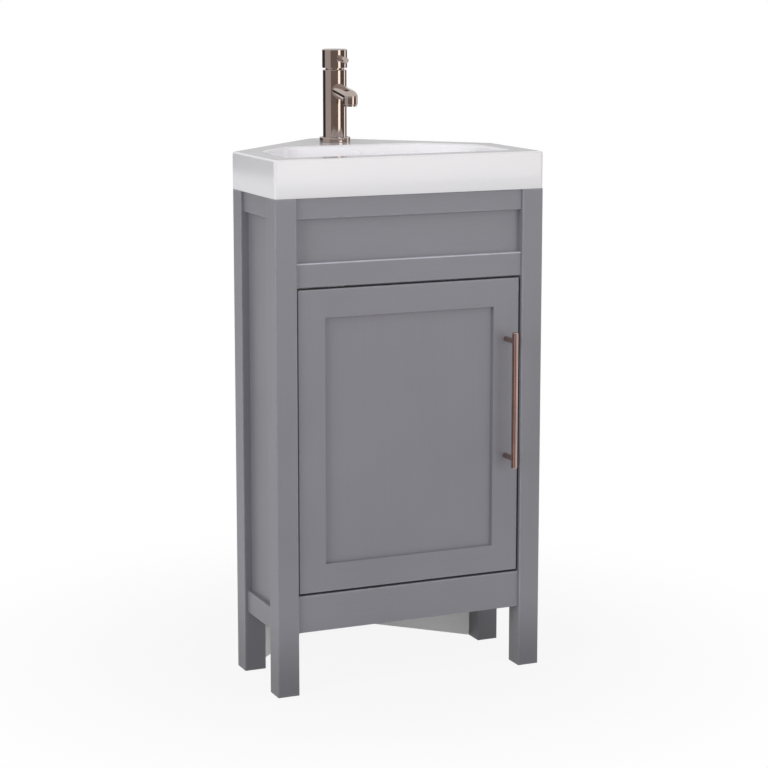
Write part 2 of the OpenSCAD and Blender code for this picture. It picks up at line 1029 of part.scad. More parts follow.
// The bowl's inside: a rolled lip, a tapered wall, a fillet and a sloping floor.
// Grown by out and dropped by down, the same form is the outside of its shell.
function bowl_rings(out, down) = [
    for (i = [0:lip_steps])
        let (a = 90 * i / lip_steps)
        bowl_ring(
            i == 0 ? -1 : lip_r * (1 - cos(a)),
            lip_r * (sin(a) - 1) - out,
            0,
            corner_power
        ),
    for (i = [0:fillet_steps])
        let (a = 90 * i / fillet_steps, r = bowl_fillet)
        bowl_ring(
            wall_drop + r * sin(a) + down * sin(a),
            wall_taper + r * (1 - cos(a)) - out * cos(a) - (1 - cos(a)) * out * 0.3,
            0,
            corner_power + (fillet_power - corner_power) * i / fillet_steps
        ),
    for (i = [1:floor_steps])
        let (s = i / floor_steps)
        bowl_ring(
            wall_drop + bowl_fillet + down + (bowl_depth - wall_drop - bowl_fillet) * s,
            wall_taper + bowl_fillet - out * 0.3,
            s,
            fillet_power + (floor_power - fillet_power) * s
        )
];

module slab_plan(d, r) {
    polygon(rounded(unit_plan(d), [r, r, r, apex_r, r], 6));
}

module basin_blank() {
    difference() {
        translate([0, 0, cabinet_h])
            linear_extrude(slab_t)
                slab_plan(0, 4);
        translate([0, 0, cabinet_h - 1])
            linear_extrude(deck_z - cabinet_h + 1)
                slab_plan(wall_t, 3);
    }
    intersection() {
        loft(bowl_rings(bowl_t, bowl_t));
        block([-half_w, 0, 0], [half_w, corner_y, rim_h - 1]);
    }
    translate([0, waste_y, seat_z])
        cylinder(r = seat_boss_r, h = 10);
    overflow_duct();
}

// The raised duct behind and under the bowl that leads the overflow to the waste
module overflow_duct() {
    half = duct_w / 2;
    back = duct_y + down_bore_r + duct_wall;
    block([-half, bowl_back_y - 4, seat_z], [half, back, deck_z + 1]);
    block([-half, waste_y, seat_z], [half, back, bowl_floor_z - 2]);
}

// Runs the drawing's z square through the bowl's leaning back wall
module overflow_axis() {
    lean = atan(wall_taper / (wall_drop - lip_r));
    translate([0, bowl_back_y - (rim_h - overflow_z - lip_r) * tan(lean), overflow_z])
        rotate([-90 - lean, 0, 0])
            children();
}

module overflow_bores() {
    overflow_axis()
        translate([0, 0, -3])
            linear_extrude(28)
                polygon([
                    for (i = [1:overflow_sides])
                        let (a = 360 * (i + 0.25) / overflow_sides)
                        overflow_r * [cos(a), sin(a)]
                ]);
    translate([0, duct_y, seat_z + 7])
        cylinder(r = down_bore_r, h = overflow_z - 6 - seat_z);
    translate([0, waste_y, seat_z + 7.5])
        rotate([-90, 0, 0])
            cylinder(r = cross_bore_r, h = duct_y - waste_y);
}

module basin() {
    color(glaze) set_back() difference() {
        basin_blank();
        loft(bowl_rings(0, 0));
        translate([0, waste_y, 0])
            cylinder(r = waste_hole_r, h = bowl_floor_z + 10);
        translate([0, waste_y, bowl_floor_z])
            cylinder(r = waste_seat_r, h = 6);
        translate([0, tap_y, deck_z - 1])
            cylinder(r = tap_hole_r, h = wall_t + 2);
        overflow_bores();
    }
}

module overflow_ring() {
    color(bronze) set_back()
        overflow_axis()
            difference() {
                union() {
                    translate([0, 0, -overflow_ring_t])
                        cylinder(r1 = overflow_r + 1, r2 = overflow_r + 2.5, h = overflow_ring_t);
                    cylinder(r = overflow_r - 0.1, h = 12);
                }
                translate([0, 0, -2])
                    cylinder(r = overflow_r - overflow_ring_t, h = 16);
            }
}

// ---- Waste and trap ----

// Flanged waste tube with overflow slots, and a bridge that guides the plug's stem
module waste_body() {
    color(bronze) set_back()
        translate([0, waste_y, 0])
            difference() {
                union() {
                    translate([0, 0, bowl_floor_z + washer_t[0]])
                        cylinder(r1 = waste_flange_r, r2 = waste_flange_r - 1, h = 2);
                    translate([0, 0, waste_low])
                        cylinder(r = waste_tube_r, h = bowl_floor_z + 3 - waste_low);
                }
                difference() {
                    translate([0, 0, waste_low - 1])
                        cylinder(r = waste_tube_in, h = bowl_floor_z + 6 - waste_low);
                    waste_bridge();
                }
                for (turn = [45:90:315])
                    rotate([0, 0, turn])
                        translate([0, -waste_slot[0] / 2, seat_z + 3])
                            cube([waste_tube_r + 1, waste_slot[0], waste_slot[1]]);
            }
}

module waste_bridge() {
    difference() {
        union() {
            translate([0, 0, spider_z])
                cylinder(r = stem_r + 3, h = bridge_h);
            for (turn = [0:120:240])
                rotate([0, 0, turn])
                    translate([0, -bridge_arm[0] / 2, spider_z])
                        cube([waste_tube_in + 1, bridge_arm[0], bridge_arm[1]]);
        }
        translate([0, 0, spider_z - 1])
            cylinder(r = stem_r + stem_play, h = bridge_h + 2);
    }
}

module waste_washers() {
    color(rubber_black) set_back()
        translate([0, waste_y, 0]) {
            ring(waste_tube_r, washer_r[0], bowl_floor_z, washer_t[0]);
            ring(waste_tube_r, washer_r[1], seat_z - washer_t[1], washer_t[1]);
        }
}

// A flat ring between radii r0 and r1
module ring(r0, r1, z, h) {
    translate([0, 0, z])
        difference() {
            cylinder(r = r1, h = h);
            translate([0, 0, -1])
                cylinder(r = r0, h = h + 2);
        }
}

// A six-sided nut round a tube
module hex_nut(r0, r1, z, h) {
    translate([0, 0, z])
        difference() {
            cylinder(r = r1, h = h, $fn = 6);
            translate([0, 0, -1])
                cylinder(r = r0, h = h + 2);
        }
}

module waste_backnut() {
    color(brass) set_back()
        translate([0, waste_y, 0])
            hex_nut(waste_tube_r, nut_r, seat_z - washer_t[1] - nut_h, nut_h);
}

// Domed plug on a stem, pressed to close and pressed again to rise
module waste_plug() {
    color(bronze) set_back()
        translate([0, waste_y, bowl_floor_z + plug_gap])
            difference() {
                rotate_extrude()
                    polygon([
                        [0, -stem_l], [stem_r, -stem_l], [stem_r, -2], [9, 0], [plug_r, 0],
                        [plug_r + 1, 1.5], [plug_r, 3], [20, 4.6], [10, 5.4], [0, 5.6]
                    ]);
                translate([0, 0, -stem_l - 1])
                    cylinder(r = 1.6, h = 8);
            }
}

// Ribbed hand nuts: one holds the trap on the waste, one seals the outlet
module trap_nuts() {
    color(plastic) set_back()
        translate([0, waste_y, 0]) {
            hand_nut(waste_tube_r, trap_r, trap_top, trap_nut_h);
            translate([0, 0, outlet_z])
                outlet_axis()
                    hand_nut(outlet_r, outlet_nut_r, outlet_nut_at, outlet_nut_h);
        }
}

module hand_nut(r0, r1, z, h) {
    difference() {
        ring(r0, r1, z, h);
        for (turn = [0:30:330])
            rotate([0, 0, turn])
                translate([r1 + 1, 0, z - 1])
                    cylinder(r = grip_r, h = h + 2, $fn = 24);
    }
}

// Trap body with its dip tube and its outlet socket
module trap_body() {
    color(plastic) set_back()
        translate([0, waste_y, 0])
            difference() {
                union() {
                    translate([0, 0, trap_low])
                        cylinder(r = trap_r, h = trap_top - trap_low);
                    translate([0, 0, trap_top - 1])
                        cylinder(r = waste_tube_r, h = waste_low - trap_top + 1);
                    translate([0, 0, outlet_z])
                        outlet_axis()
                            cylinder(r = outlet_r + 4, h = outlet_nut_at);
                }
                difference() {
                    union() {
                        translate([0, 0, trap_low - 1])
                            cylinder(r = trap_r - trap_wall, h = trap_top - trap_roof - trap_low);
                        translate([0, 0, outlet_z])
                            outlet_axis()
                                cylinder(r = outlet_r, h = trap_r + 14);
                    }
                    ring(dip_r, dip_r + dip_t, trap_low - 12, 110);
                }
                translate([0, 0, trap_low])
                    cylinder(r = dip_r, h = 120);
            }
}

module outlet_axis() {
    rotate([0, 0, -outlet_turn])
        rotate([-90, 0, 0])
            children();
}

// Cup that unscrews from the bottom of the trap for cleaning
module trap_bottle() {
    r = trap_r + 6;
    color(plastic) set_back()
        translate([0, waste_y, 0])
            difference() {
                rotate_extrude()
                    polygon([
                        [0, bottle_low], [r - 6, bottle_low], [r, bottle_low + 6],
                        [r, trap_low + bottle_over], [trap_r, trap_low + bottle_over],
                        [trap_r, trap_low],
                        [trap_r - 2, trap_low - 4], [trap_r - 2, bottle_low + 6],
                        [trap_r - 5, bottle_low + 3], [0, bottle_low + 3]
                    ]);
                for (turn = [0:30:330])
                    rotate([0, 0, turn])
                        translate([r + 1, 0, bottle_low - 1])
                            cylinder(r = grip_r, h = 60, $fn = 24);
            }
}

// Pipe from the trap out through the opening in the right back panel. Its collar
// stops it in the wall's fitting.
module outlet_pipe() {
    color(plastic) set_back()
        translate([0, waste_y, outlet_z])
            outlet_axis()
                difference() {
                    union() {
                        translate([0, 0, trap_r + 2])
                            cylinder(r = outlet_r, h = outlet_l - trap_r - 2);
                        translate([0, 0, outlet_l - collar_at - 4])
                            cylinder(r = outlet_r + 3, h = 4);
                    }
                    cylinder(r = outlet_r - outlet_wall, h = outlet_l + 1);
                }
}

// ---- Tap ----

module at_tap() {
    set_back()
        translate([0, tap_y, 0])
            children();
}

module tap_flange() {
    color(bronze) at_tap()
        difference() {
            translate([0, 0, rim_h])
                rotate_extrude()
                    polygon([
                        [0, 0], [flange_r, 0], [flange_r, flange_h - 1],
                        [flange_r - 1, flange_h], [0, flange_h]
                    ]);
            translate([0, 0, rim_h - 1])
                cylinder(r = shank_r, h = flange_h + 2);
        }
}

module tap_body() {
    color(bronze) at_tap()
        difference() {
            translate([0, 0, rim_h + flange_h])
                rotate_extrude()
                    polygon([
                        [0, 0], [body_r, 0], [body_r, body_top - rim_h - flange_h - 0.6],
                        [body_r - 0.6, body_top - rim_h - flange_h], [0, body_top - rim_h - flange_h]
                    ]);
            translate([0, 0, body_top - cartridge_h - 3])
                cylinder(r = bore_r, h = cartridge_h + 10);
            translate([0, 0, rim_h])
                cylinder(r = shank_r, h = flange_h + 14);
            translate([0, 0, rim_h + flange_h + 8])
                cylinder(r = mixing_r, h = 80);
            spout_axis()
                cylinder(r = waterway_r, h = tap_r + 5);
        }
}

// Turns the drawing's z to run out along the sloping spout
module spout_axis() {
    translate([0, 0, spout_z])
        rotate([90 + spout_slope, 0, 0])
            children();
}

// Spout with an upright housing at its end that holds the aerator
module tap_spout() {
    r = spout_d / 2;
    l = (spout_reach - 1) / cos(spout_slope);
    color(bronze) at_tap()
        difference() {
            union() {
                spout_axis()
                    rotate_extrude()
                        polygon([[0, 0], [r, 0], [r, l - 3], [r - 0.9, l - 0.9], [r - 3, l], [0, l]]);
                translate([0, -aerator_y, aerator_z - r])
                    cylinder(r = housing_r, h = r);
            }
            cylinder(r = body_r, h = tap_top);
            spout_axis()
                cylinder(r = waterway_r, h = l - 4);
            aerator_bore();
        }
}

module aerator_bore() {
    translate([0, -aerator_y, aerator_z - spout_d])
        cylinder(r = aerator_r, h = spout_d - 1);
}

// Aerator with its ring and a perforated disc
module tap_aerator() {
    z0 = aerator_z - spout_d / 2 - aerator_drop;
    color(steel) at_tap()
        translate([0, -aerator_y, z0])
            difference() {
                cylinder(r = aerator_r, h = aerator_drop + spout_d / 2 - 2);
                translate([0, 0, -1])
                    cylinder(r = aerator_r - aerator_wall, h = 3);
                translate([0, 0, 4])
                    cylinder(r = aerator_r - aerator_wall, h = spout_d);
                for (k = [0:5])
                    rotate([0, 0, 60 * k])
                        translate([jet_at, 0, -1])
                            cylinder(r = jet_r, h = 8, $fn = 16);
                cylinder(r = jet_r, h = 8, $fn = 16);
            }
}

// Ceramic-disc cartridge held in the top of the body
module tap_cartridge() {
    color(plastic) at_tap()
        difference() {
            translate([0, 0, body_top - 1 - cartridge_h])
                cylinder(r = bore_r, h = cartridge_h);
            translate([0, 0, body_top - 12])
                cylinder(r = spindle_r + spindle_play, h = 20);
        }
}

// Stem that the cap turns, bored for the pin that the cap tilts on, with a collar that
// closes the groove under the cap
module tap_spindle() {
    foot_z = body_top - 11.7;
    color(brass) at_tap()
        difference() {
            union() {
                translate([0, 0, foot_z])
                    cylinder(r = spindle_r, h = pivot_z + 6 - foot_z);
                translate([0, 0, body_top + 0.4])
                    cylinder(r = collar_r, h = cap_gap + 0.6);
            }
            translate([0, 0, pivot_z])
                rotate([0, 90, 0])
                    translate([0, 0, -spindle_r - 1])
                        cylinder(r = pivot_r + spindle_play, h = 2 * spindle_r + 2);
        }
}

module tap_pivot_pin() {
    half = bore_r + 1.5;
    color(steel) at_tap()
        translate([-half, 0, pivot_z])
            rotate([0, 90, 0])
                cylinder(r = pivot_r, h = 2 * half);
}

// Hollow cap, cut away under its back so that it can tilt
module tap_cap() {
    color(bronze) at_tap()
        difference() {
            translate([0, 0, cap_z])
                rotate_extrude()
                    polygon([
                        [0, 0], [tap_r - 0.6, 0], [tap_r, 0.6], [tap_r, cap_h - 1.5],
                        [tap_r - 0.5, cap_h - 0.5], [tap_r - 1.5, cap_h], [0, cap_h]
                    ]);
            translate([0, 0, cap_z - 1])
                cylinder(r = bore_r, h = cap_bore_h + 1);
            translate([-tap_r - 1, 1, cap_z])
                rotate([relief_slope, 0, 0])
                    translate([0, 0, -20])
                        cube([tap_d + 2, 40, 20]);
            translate([-bore_r - 1.5, 0, pivot_z])
                rotate([0, 90, 0])
                    cylinder(r = pivot_r, h = 2 * bore_r + 3);
            lever_axis()
                translate([0, 0, bore_r - 3.5])
                    cylinder(r = lever_peg_r, h = 8);
        }
}

module lever_axis() {
    translate([0, 0, lever_z])
        rotate([90 + lever_slope, 0, 0])
            children();
}

module tap_lever_pin() {
    r = lever_d / 2;
    l = lever_reach / cos(lever_slope);
    color(bronze) at_tap() {
        difference() {
            lever_axis()
                rotate_extrude()
                    polygon([[0, 12], [r, 12], [r, l - 0.8], [r - 0.8, l], [0, l]]);
            cylinder(r = tap_r, h = tap_top + 10);
        }
        difference() {
            lever_axis()
                translate([0, 0, 17])
                    cylinder(r = lever_peg_r, h = 8);
            cylinder(r = bore_r, h = cap_z + 20);
        }
    }
}

// Threaded tail through the deck, drilled for the two supply hoses
module tap_shank() {
    color(brass) at_tap()
        difference() {
            translate([0, 0, shank_low])
                cylinder(r = shank_r, h = rim_h + flange_h + 8 - shank_low);
            for (side = [-1, 1])
                translate([side * 8, 0, shank_low - 1])
                    cylinder(r = inlet_r, h = inlet_l + 1);
        }
}

module tap_washer() {
    color(rubber_black) at_tap()
        ring(shank_r, 26, deck_z - 3, 3);
}

module tap_backnut() {
    color(brass) at_tap()
        hex_nut(shank_r, 24, deck_z - 11, 8);
}

front_left_post();
front_right_post();
rear_left_post();
rear_right_post();
top_front_rail();
middle_front_rail();
bottom_front_rail();
false_drawer_panel();
left_top_rail();
left_bottom_rail();
left_side_panel();
right_top_rail();
right_bottom_rail();
right_side_panel();
left_back_panel();
right_back_panel();
corner_batten();
cabinet_floor();
shelf();
shelf_pegs();
hinge_blocks();
door_stops();
door_left_stile();
door_right_stile();
door_top_rail();
door_bottom_rail();
door_panel();
handle_bar();
handle_posts();
handle_screws();
hinge_cups();
hinge_cup_screws();
hinge_links();
hinge_pins();
hinge_arms();
hinge_plates();
hinge_plate_screws();
basin();
overflow_ring();
waste_body();
waste_washers();
waste_backnut();
waste_plug();
trap_nuts();
trap_body();
trap_bottle();
outlet_pipe();
tap_flange();
tap_body();
tap_spout();
tap_aerator();
tap_cartridge();
tap_spindle();
tap_cap();
tap_lever_pin();
tap_pivot_pin();
tap_shank();
tap_washer();
tap_backnut();
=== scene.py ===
"""Looks of the corner vanity unit: painted frame and door, cast basin, tap, waste and fittings.

Lengths are in metres in the packed model's frame: X along the front, Y towards the
corner, Z up. The waste and the tap stand on the plane x = 0.
"""

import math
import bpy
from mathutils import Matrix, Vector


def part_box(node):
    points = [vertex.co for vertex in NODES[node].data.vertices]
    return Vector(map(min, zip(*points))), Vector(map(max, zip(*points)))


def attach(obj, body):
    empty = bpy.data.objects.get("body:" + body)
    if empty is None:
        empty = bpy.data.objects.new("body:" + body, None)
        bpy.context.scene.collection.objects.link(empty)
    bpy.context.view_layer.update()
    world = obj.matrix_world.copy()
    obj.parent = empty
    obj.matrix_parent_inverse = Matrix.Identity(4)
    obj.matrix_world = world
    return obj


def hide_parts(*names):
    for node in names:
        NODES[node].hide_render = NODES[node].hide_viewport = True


bl_info = {
    "name": "Corner Vanity Unit",
    "version": (1, 0, 0),
    "blender": (4, 5, 0),
    "location": "View3D > Sidebar > Vanity",
    "description": "Builds and finishes a corner vanity unit with its basin and tap",
    "category": "Object",
}

import bpy
import numpy as np
from bpy.props import FloatProperty, FloatVectorProperty, PointerProperty
from mathutils import Vector

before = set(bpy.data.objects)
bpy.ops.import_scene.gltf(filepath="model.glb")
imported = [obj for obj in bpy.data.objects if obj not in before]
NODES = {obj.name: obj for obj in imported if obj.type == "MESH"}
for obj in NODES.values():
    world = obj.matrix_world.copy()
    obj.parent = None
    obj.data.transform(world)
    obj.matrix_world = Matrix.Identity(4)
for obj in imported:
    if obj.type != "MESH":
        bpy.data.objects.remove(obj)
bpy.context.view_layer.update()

BASIN_LOW, BASIN_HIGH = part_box("basin")
FRONT = BASIN_LOW.y
RIM = BASIN_HIGH.z
TAP_Y = FRONT + 0.318
TAU = 2 * math.pi
MM = 0.001
SUPPORT = 0.25 * MM


# ---- settings


def length(name, description, default, low=0.0):
    """A length in metres that the user can change."""
    return FloatProperty(name=name, description=description, default=default, min=low,
                         unit="LENGTH", subtype="DISTANCE", precision=4)


def colour(name, description, default):
    """A scene-linear colour that the user can change."""
    return FloatVectorProperty(name=name, description=description, default=default,
                               subtype="COLOR", size=3, min=0.0, max=1.0)


def share(name, description, default, high=1.0):
    """A number without a unit that the user can change."""
    return FloatProperty(name=name, description=description, default=default, min=0.0, max=high,
                         subtype="FACTOR" if high == 1.0 else "NONE")


class CabinetSettings(bpy.types.PropertyGroup):
    """Paint and boards of the cabinet."""

    paint: colour("Paint", "Satin paint on the frame, panels and door", (0.220, 0.218, 0.243))
    paint_roughness: share("Paint roughness", "Sheen of the paint, from gloss to matt", 0.40)
    # The edge band is partly paint worn thin on the arrises and partly a painted highlight.
    edge_lift: share("Edge lift", "How much paler the paint is on the arrises", 0.19)
    edge_width: length("Edge width", "Width of the paler band along each arris", 0.0035)
    # Painted highlight: a paler band on the middle rail's upper face and arris.
    ledge_highlight_width: length("Ledge width", "Height of the paler band at the middle rail's top", 0.0024)
    ledge_lift: share("Ledge lift", "How much paler the middle rail's top band is", 0.9, 4.0)
    board: colour("Board face", "Melamine face of the boards inside", (0.90, 0.90, 0.90))
    core: colour("Board core", "Chipboard on the boards' cut edges", (0.42, 0.31, 0.20))


class BasinSettings(bpy.types.PropertyGroup):
    """Shape and glaze of the basin."""

    corner_radius: length("Corner radius", "Rounding of the slab's upright corners", 0.004)
    apex_radius: length("Apex radius", "Rounding of the corner that goes into the room's corner", 0.030)
    arris: length("Arris", "Rounding between the slab's sides and its deck", 0.0035)
    wall: length("Wall", "Thickness of the deck and the apron", 0.012)
    shell: length("Shell", "Thickness of the bowl", 0.009)
    lip: length("Lip", "Rolled edge between the deck and the bowl", 0.005)
    taper: length("Taper", "How far the bowl's walls lean in", 0.010)
    fillet: length("Fillet", "Rounding between the bowl's walls and its floor", 0.028)
    depth: length("Depth", "Depth of the bowl at the waste", 0.092)
    glaze: colour("Glaze", "White glaze", (0.80, 0.785, 0.805))
    # Painted shade: the colour that the glaze darkens towards low in the bowl.
    pooled: colour("Pooled glaze", "Glaze low in the bowl", (0.72, 0.74, 0.78))


class MetalSettings(bpy.types.PropertyGroup):
    """Metals of the tap, the waste, the handle and the fittings."""

    tap: colour("Tap metal", "Polished bronze plating of the tap and waste", (0.44, 0.365, 0.335))
    handle: colour("Handle metal", "Brushed copper of the handle", (0.46, 0.33, 0.30))
    steel: colour("Steel", "Nickel-plated steel of the hinges and screws", (0.60, 0.60, 0.61))
    brass: colour("Brass", "Turned brass of the nuts, shank and spindle", (0.62, 0.45, 0.19))
    plastic: colour("Plastic", "White moulded plastic of the trap", (0.80, 0.80, 0.79))
    rubber: colour("Rubber", "Black rubber washers", (0.02, 0.02, 0.021))


class StageSettings(bpy.types.PropertyGroup):
    """Camera, lamps and floor."""

    lens: FloatProperty(name="Lens", description="Focal length", default=104.03, unit="CAMERA")
    floor: colour("Floor", "Pale studio floor", (0.50, 0.50, 0.50))
    ambient: share("Ambient", "Even light from all round", 0.45, 4.0)
    key: share("Key lamp", "Power of the large lamp at the front, in watts", 38.0, 2000.0)
    side: share("Side lamp", "Power of the tall lamp on the left, in watts", 34.0, 2000.0)
    top: share("Top lamp", "Power of the lamp overhead, in watts", 14.5, 2000.0)


# ---- shader helpers


def add(tree, kind, sockets=None, **values):
    """Adds a node, sets its properties, and sets or links its input sockets."""
    node = tree.nodes.new(kind)
    for key, value in values.items():
        setattr(node, key, value)
    for key, value in (sockets or {}).items():
        if isinstance(value, bpy.types.NodeSocket):
            tree.links.new(value, node.inputs[key])
        else:
            node.inputs[key].default_value = value
    return node


def maths(tree, operation, a, b=0.0, c=0.0):
    """One scalar Math node's output."""
    return add(tree, "ShaderNodeMath", {0: a, 1: b, 2: c}, operation=operation).outputs[0]


def vector_maths(tree, operation, a, b=(0.0, 0.0, 0.0)):
    """One Vector Math node's output."""
    return add(tree, "ShaderNodeVectorMath", {0: a, 1: b}, operation=operation).outputs[0]


def scaled(tree, colour_in, factor):
    """A colour or vector times a number."""
    return add(tree, "ShaderNodeVectorMath", {0: colour_in, "Scale": factor},
               operation="SCALE").outputs[0]


def lifted(tree, mask, amount):
    """1 plus a mask times an amount."""
    return maths(tree, "ADD", 1.0, maths(tree, "MULTIPLY", mask, amount))


def mixed(tree, factor, a, b):
    """Two colours mixed by a factor."""
    return add(tree, "ShaderNodeMix", {0: factor, 6: a, 7: b}, data_type="RGBA").outputs[2]


def spread(tree, value, low, high, to_low=0.0, to_high=1.0, smooth=False):
    """A value carried from one range to another and held at its ends."""
    kind = "SMOOTHSTEP" if smooth else "LINEAR"
    node = add(tree, "ShaderNodeMapRange", {0: value, 1: low, 2: high, 3: to_low, 4: to_high},
               interpolation_type=kind)
    return node.outputs[0]


def noise(tree, vector, scale, detail=3.0, roughness=0.5):
    """Fractal noise between 0 and 1."""
    node = add(tree, "ShaderNodeTexNoise",
               {"Vector": vector, "Scale": scale, "Detail": detail, "Roughness": roughness})
    return node.outputs[0]


def place(tree):
    """The piece's own coordinates, which are the model's frame in metres."""
    return add(tree, "ShaderNodeTexCoord").outputs["Object"]


def seen_or_mirrored(tree):
    """1 for rays from the camera, from a mirror and through glass, and 0 for the rest."""
    path = add(tree, "ShaderNodeLightPath").outputs
    return maths(tree, "MAXIMUM", path["Is Camera Ray"],
                 maths(tree, "MAXIMUM", path["Is Glossy Ray"], path["Is Transmission Ray"]))


def group_tree(name, inputs, outputs):
    """Starts a shader node group with named sockets. Returns its tree, its inputs and
    a function that fills its outputs."""
    tree = bpy.data.node_groups.new(name, "ShaderNodeTree")
    for socket, kind, default in inputs:
        made = tree.interface.new_socket(socket, in_out="INPUT", socket_type=kind)
        made.default_value = default
    for socket, kind in outputs:
        tree.interface.new_socket(socket, in_out="OUTPUT", socket_type=kind)
    entry = tree.nodes.new("NodeGroupInput").outputs
    leave = tree.nodes.new("NodeGroupOutput").inputs

    def fill(**values):
        for key, value in values.items():
            tree.links.new(value, leave[key])

    return tree, entry, fill


COLOUR, FLOAT, VECTOR = "NodeSocketColor", "NodeSocketFloat", "NodeSocketVector"
FINISH = [("Colour", COLOUR), ("Roughness", FLOAT), ("Height", FLOAT)]


def edge_group():
    """Nearness to a box's edges. A point on the box lies on one pair of faces, so its
    second smallest distance to the three pairs of faces is its distance to an edge."""
    tree, given, fill = group_tree(
        "edge_nearness",
        [("Low", VECTOR, (0, 0, 0)), ("High", VECTOR, (1, 1, 1)), ("Width", FLOAT, 0.004)],
        [("Mask", FLOAT)])
    at = place(tree)
    low = vector_maths(tree, "SUBTRACT", at, given["Low"])
    high = vector_maths(tree, "SUBTRACT", given["High"], at)
    near = add(tree, "ShaderNodeSeparateXYZ", {0: vector_maths(tree, "MINIMUM", low, high)}).outputs
    total, least, most = (maths(tree, kind, maths(tree, kind, near[0], near[1]), near[2])
                          for kind in ("ADD", "MINIMUM", "MAXIMUM"))
    second = maths(tree, "SUBTRACT", maths(tree, "SUBTRACT", total, least), most)
    wander = spread(tree, noise(tree, at, 70.0), 0.3, 0.7, 0.5, 1.5)
    reach = maths(tree, "MULTIPLY", given["Width"], wander)
    fill(Mask=spread(tree, maths(tree, "DIVIDE", second, reach), 0.0, 1.0, 1.0, 0.0, smooth=True))
    return tree


def use(tree, group, **sockets):
    """Places a group in a tree and returns its outputs. Underscores stand for spaces."""
    node = tree.nodes.new("ShaderNodeGroup")
    node.node_tree = group
    for key, value in sockets.items():
        socket = node.inputs[key.replace("_", " ")]
        if isinstance(value, bpy.types.NodeSocket):
            tree.links.new(value, socket)
        else:
            socket.default_value = value
    return node.outputs


FOOT_SHADE_HEIGHT = 0.13


def paint_group(edges):
    """Sprayed satin paint over wood: a slow drift of tone, faint laying-off lines along
    the piece, orange peel, a paler, smoother band along the arrises that is partly paint
    worn thin and partly a painted highlight, and painted shade darkening the feet. A rail
    with a ledge has a painted highlight above the ledge's height."""
    tree, given, fill = group_tree(
        "sprayed_paint",
        [("Paint", COLOUR, (0.2, 0.2, 0.2, 1)), ("Base Roughness", FLOAT, 0.4),
         ("Low", VECTOR, (0, 0, 0)), ("High", VECTOR, (1, 1, 1)), ("Grain", VECTOR, (1, 1, 1)),
         ("Edge Width", FLOAT, 0.004), ("Edge Lift", FLOAT, 0.3),
         ("Ledge", FLOAT, 10.0), ("Ledge Lift", FLOAT, 0.0)],
        FINISH)
    at = place(tree)
    lines = noise(tree, vector_maths(tree, "MULTIPLY", at, given["Grain"]), 1.0, 2.0)
    drift = spread(tree, noise(tree, at, 5.0, 2.0), 0.3, 0.7, 0.965, 1.035)
    tone = maths(tree, "MULTIPLY", drift, spread(tree, lines, 0.3, 0.7, 0.985, 1.015))
    ground = add(tree, "ShaderNodeSeparateXYZ", {0: at}).outputs[2]
    # Painted shade: the paint grows darker towards the floor, below the foot shade height.
    tone = maths(tree, "MULTIPLY", tone, spread(tree, ground, 0.0, FOOT_SHADE_HEIGHT, 0.62, 1.0, smooth=True))
    # Painted highlight: the middle rail is made paler above its ledge's height.
    shelf = spread(tree, maths(tree, "SUBTRACT", ground, given["Ledge"]), 0.0, 0.8 * MM)
    tone = maths(tree, "MULTIPLY", tone, lifted(tree, shelf, given["Ledge Lift"]))
    shaded = scaled(tree, given["Paint"], tone)
    # Paler band along the arrises: partly paint worn thin, partly a painted highlight.
    mask = use(tree, edges, Low=given["Low"], High=given["High"], Width=given["Edge Width"])[0]
    body = scaled(tree, shaded, lifted(tree, mask, given["Edge Lift"]))
    peel = noise(tree, at, 420.0, 2.0)
    rough = maths(tree, "ADD", given["Base Roughness"], spread(tree, peel, 0.3, 0.7, -0.03, 0.05))
    rough = maths(tree, "SUBTRACT", rough, maths(tree, "MULTIPLY", mask, 0.06))
    height = maths(tree, "ADD", maths(tree, "MULTIPLY", peel, 0.6), maths(tree, "MULTIPLY", lines, 0.4))
    fill(Colour=body, Roughness=rough, Height=height)
    return tree


def board_group():
    """Melamine-faced chipboard: a pale pebbled face, and packed flakes wherever the
    surface doesn't face along the board's thickness."""
    tree, given, fill = group_tree(
        "faced_board",
        [("Face", COLOUR, (0.7, 0.7, 0.7, 1)), ("Core", COLOUR, (0.4, 0.3, 0.2, 1)),
         ("Through", VECTOR, (0, 0, 1))],
        FINISH)
    at = place(tree)
    facing = add(tree, "ShaderNodeVectorMath",
                 {0: add(tree, "ShaderNodeTexCoord").outputs["Normal"], 1: given["Through"]},
                 operation="DOT_PRODUCT").outputs["Value"]
    cut = spread(tree, maths(tree, "ABSOLUTE", facing), 0.6, 0.9, 1.0, 0.0)
    flakes = add(tree, "ShaderNodeTexVoronoi", {"Vector": at, "Scale": 420.0}).outputs["Color"]
    grey = add(tree, "ShaderNodeSeparateColor", {0: flakes}).outputs[0]
    chip = mixed(tree, grey, mixed(tree, 0.45, given["Core"], (0, 0, 0, 1)),
                 mixed(tree, 0.25, given["Core"], (1, 1, 1, 1)))
    drift = spread(tree, noise(tree, at, 9.0, 2.0), 0.3, 0.7, 0.0, 0.06)
    face = mixed(tree, drift, given["Face"], (0.55, 0.54, 0.50, 1))
    pebble = noise(tree, at, 900.0, 2.0)
    height = maths(tree, "ADD", maths(tree, "MULTIPLY", pebble, 0.3),
                   maths(tree, "MULTIPLY", grey, cut))
    fill(Colour=mixed(tree, cut, face, chip),
         Roughness=maths(tree, "ADD", maths(tree, "MULTIPLY", cut, 0.35), 0.45),
         Height=height)
    return tree


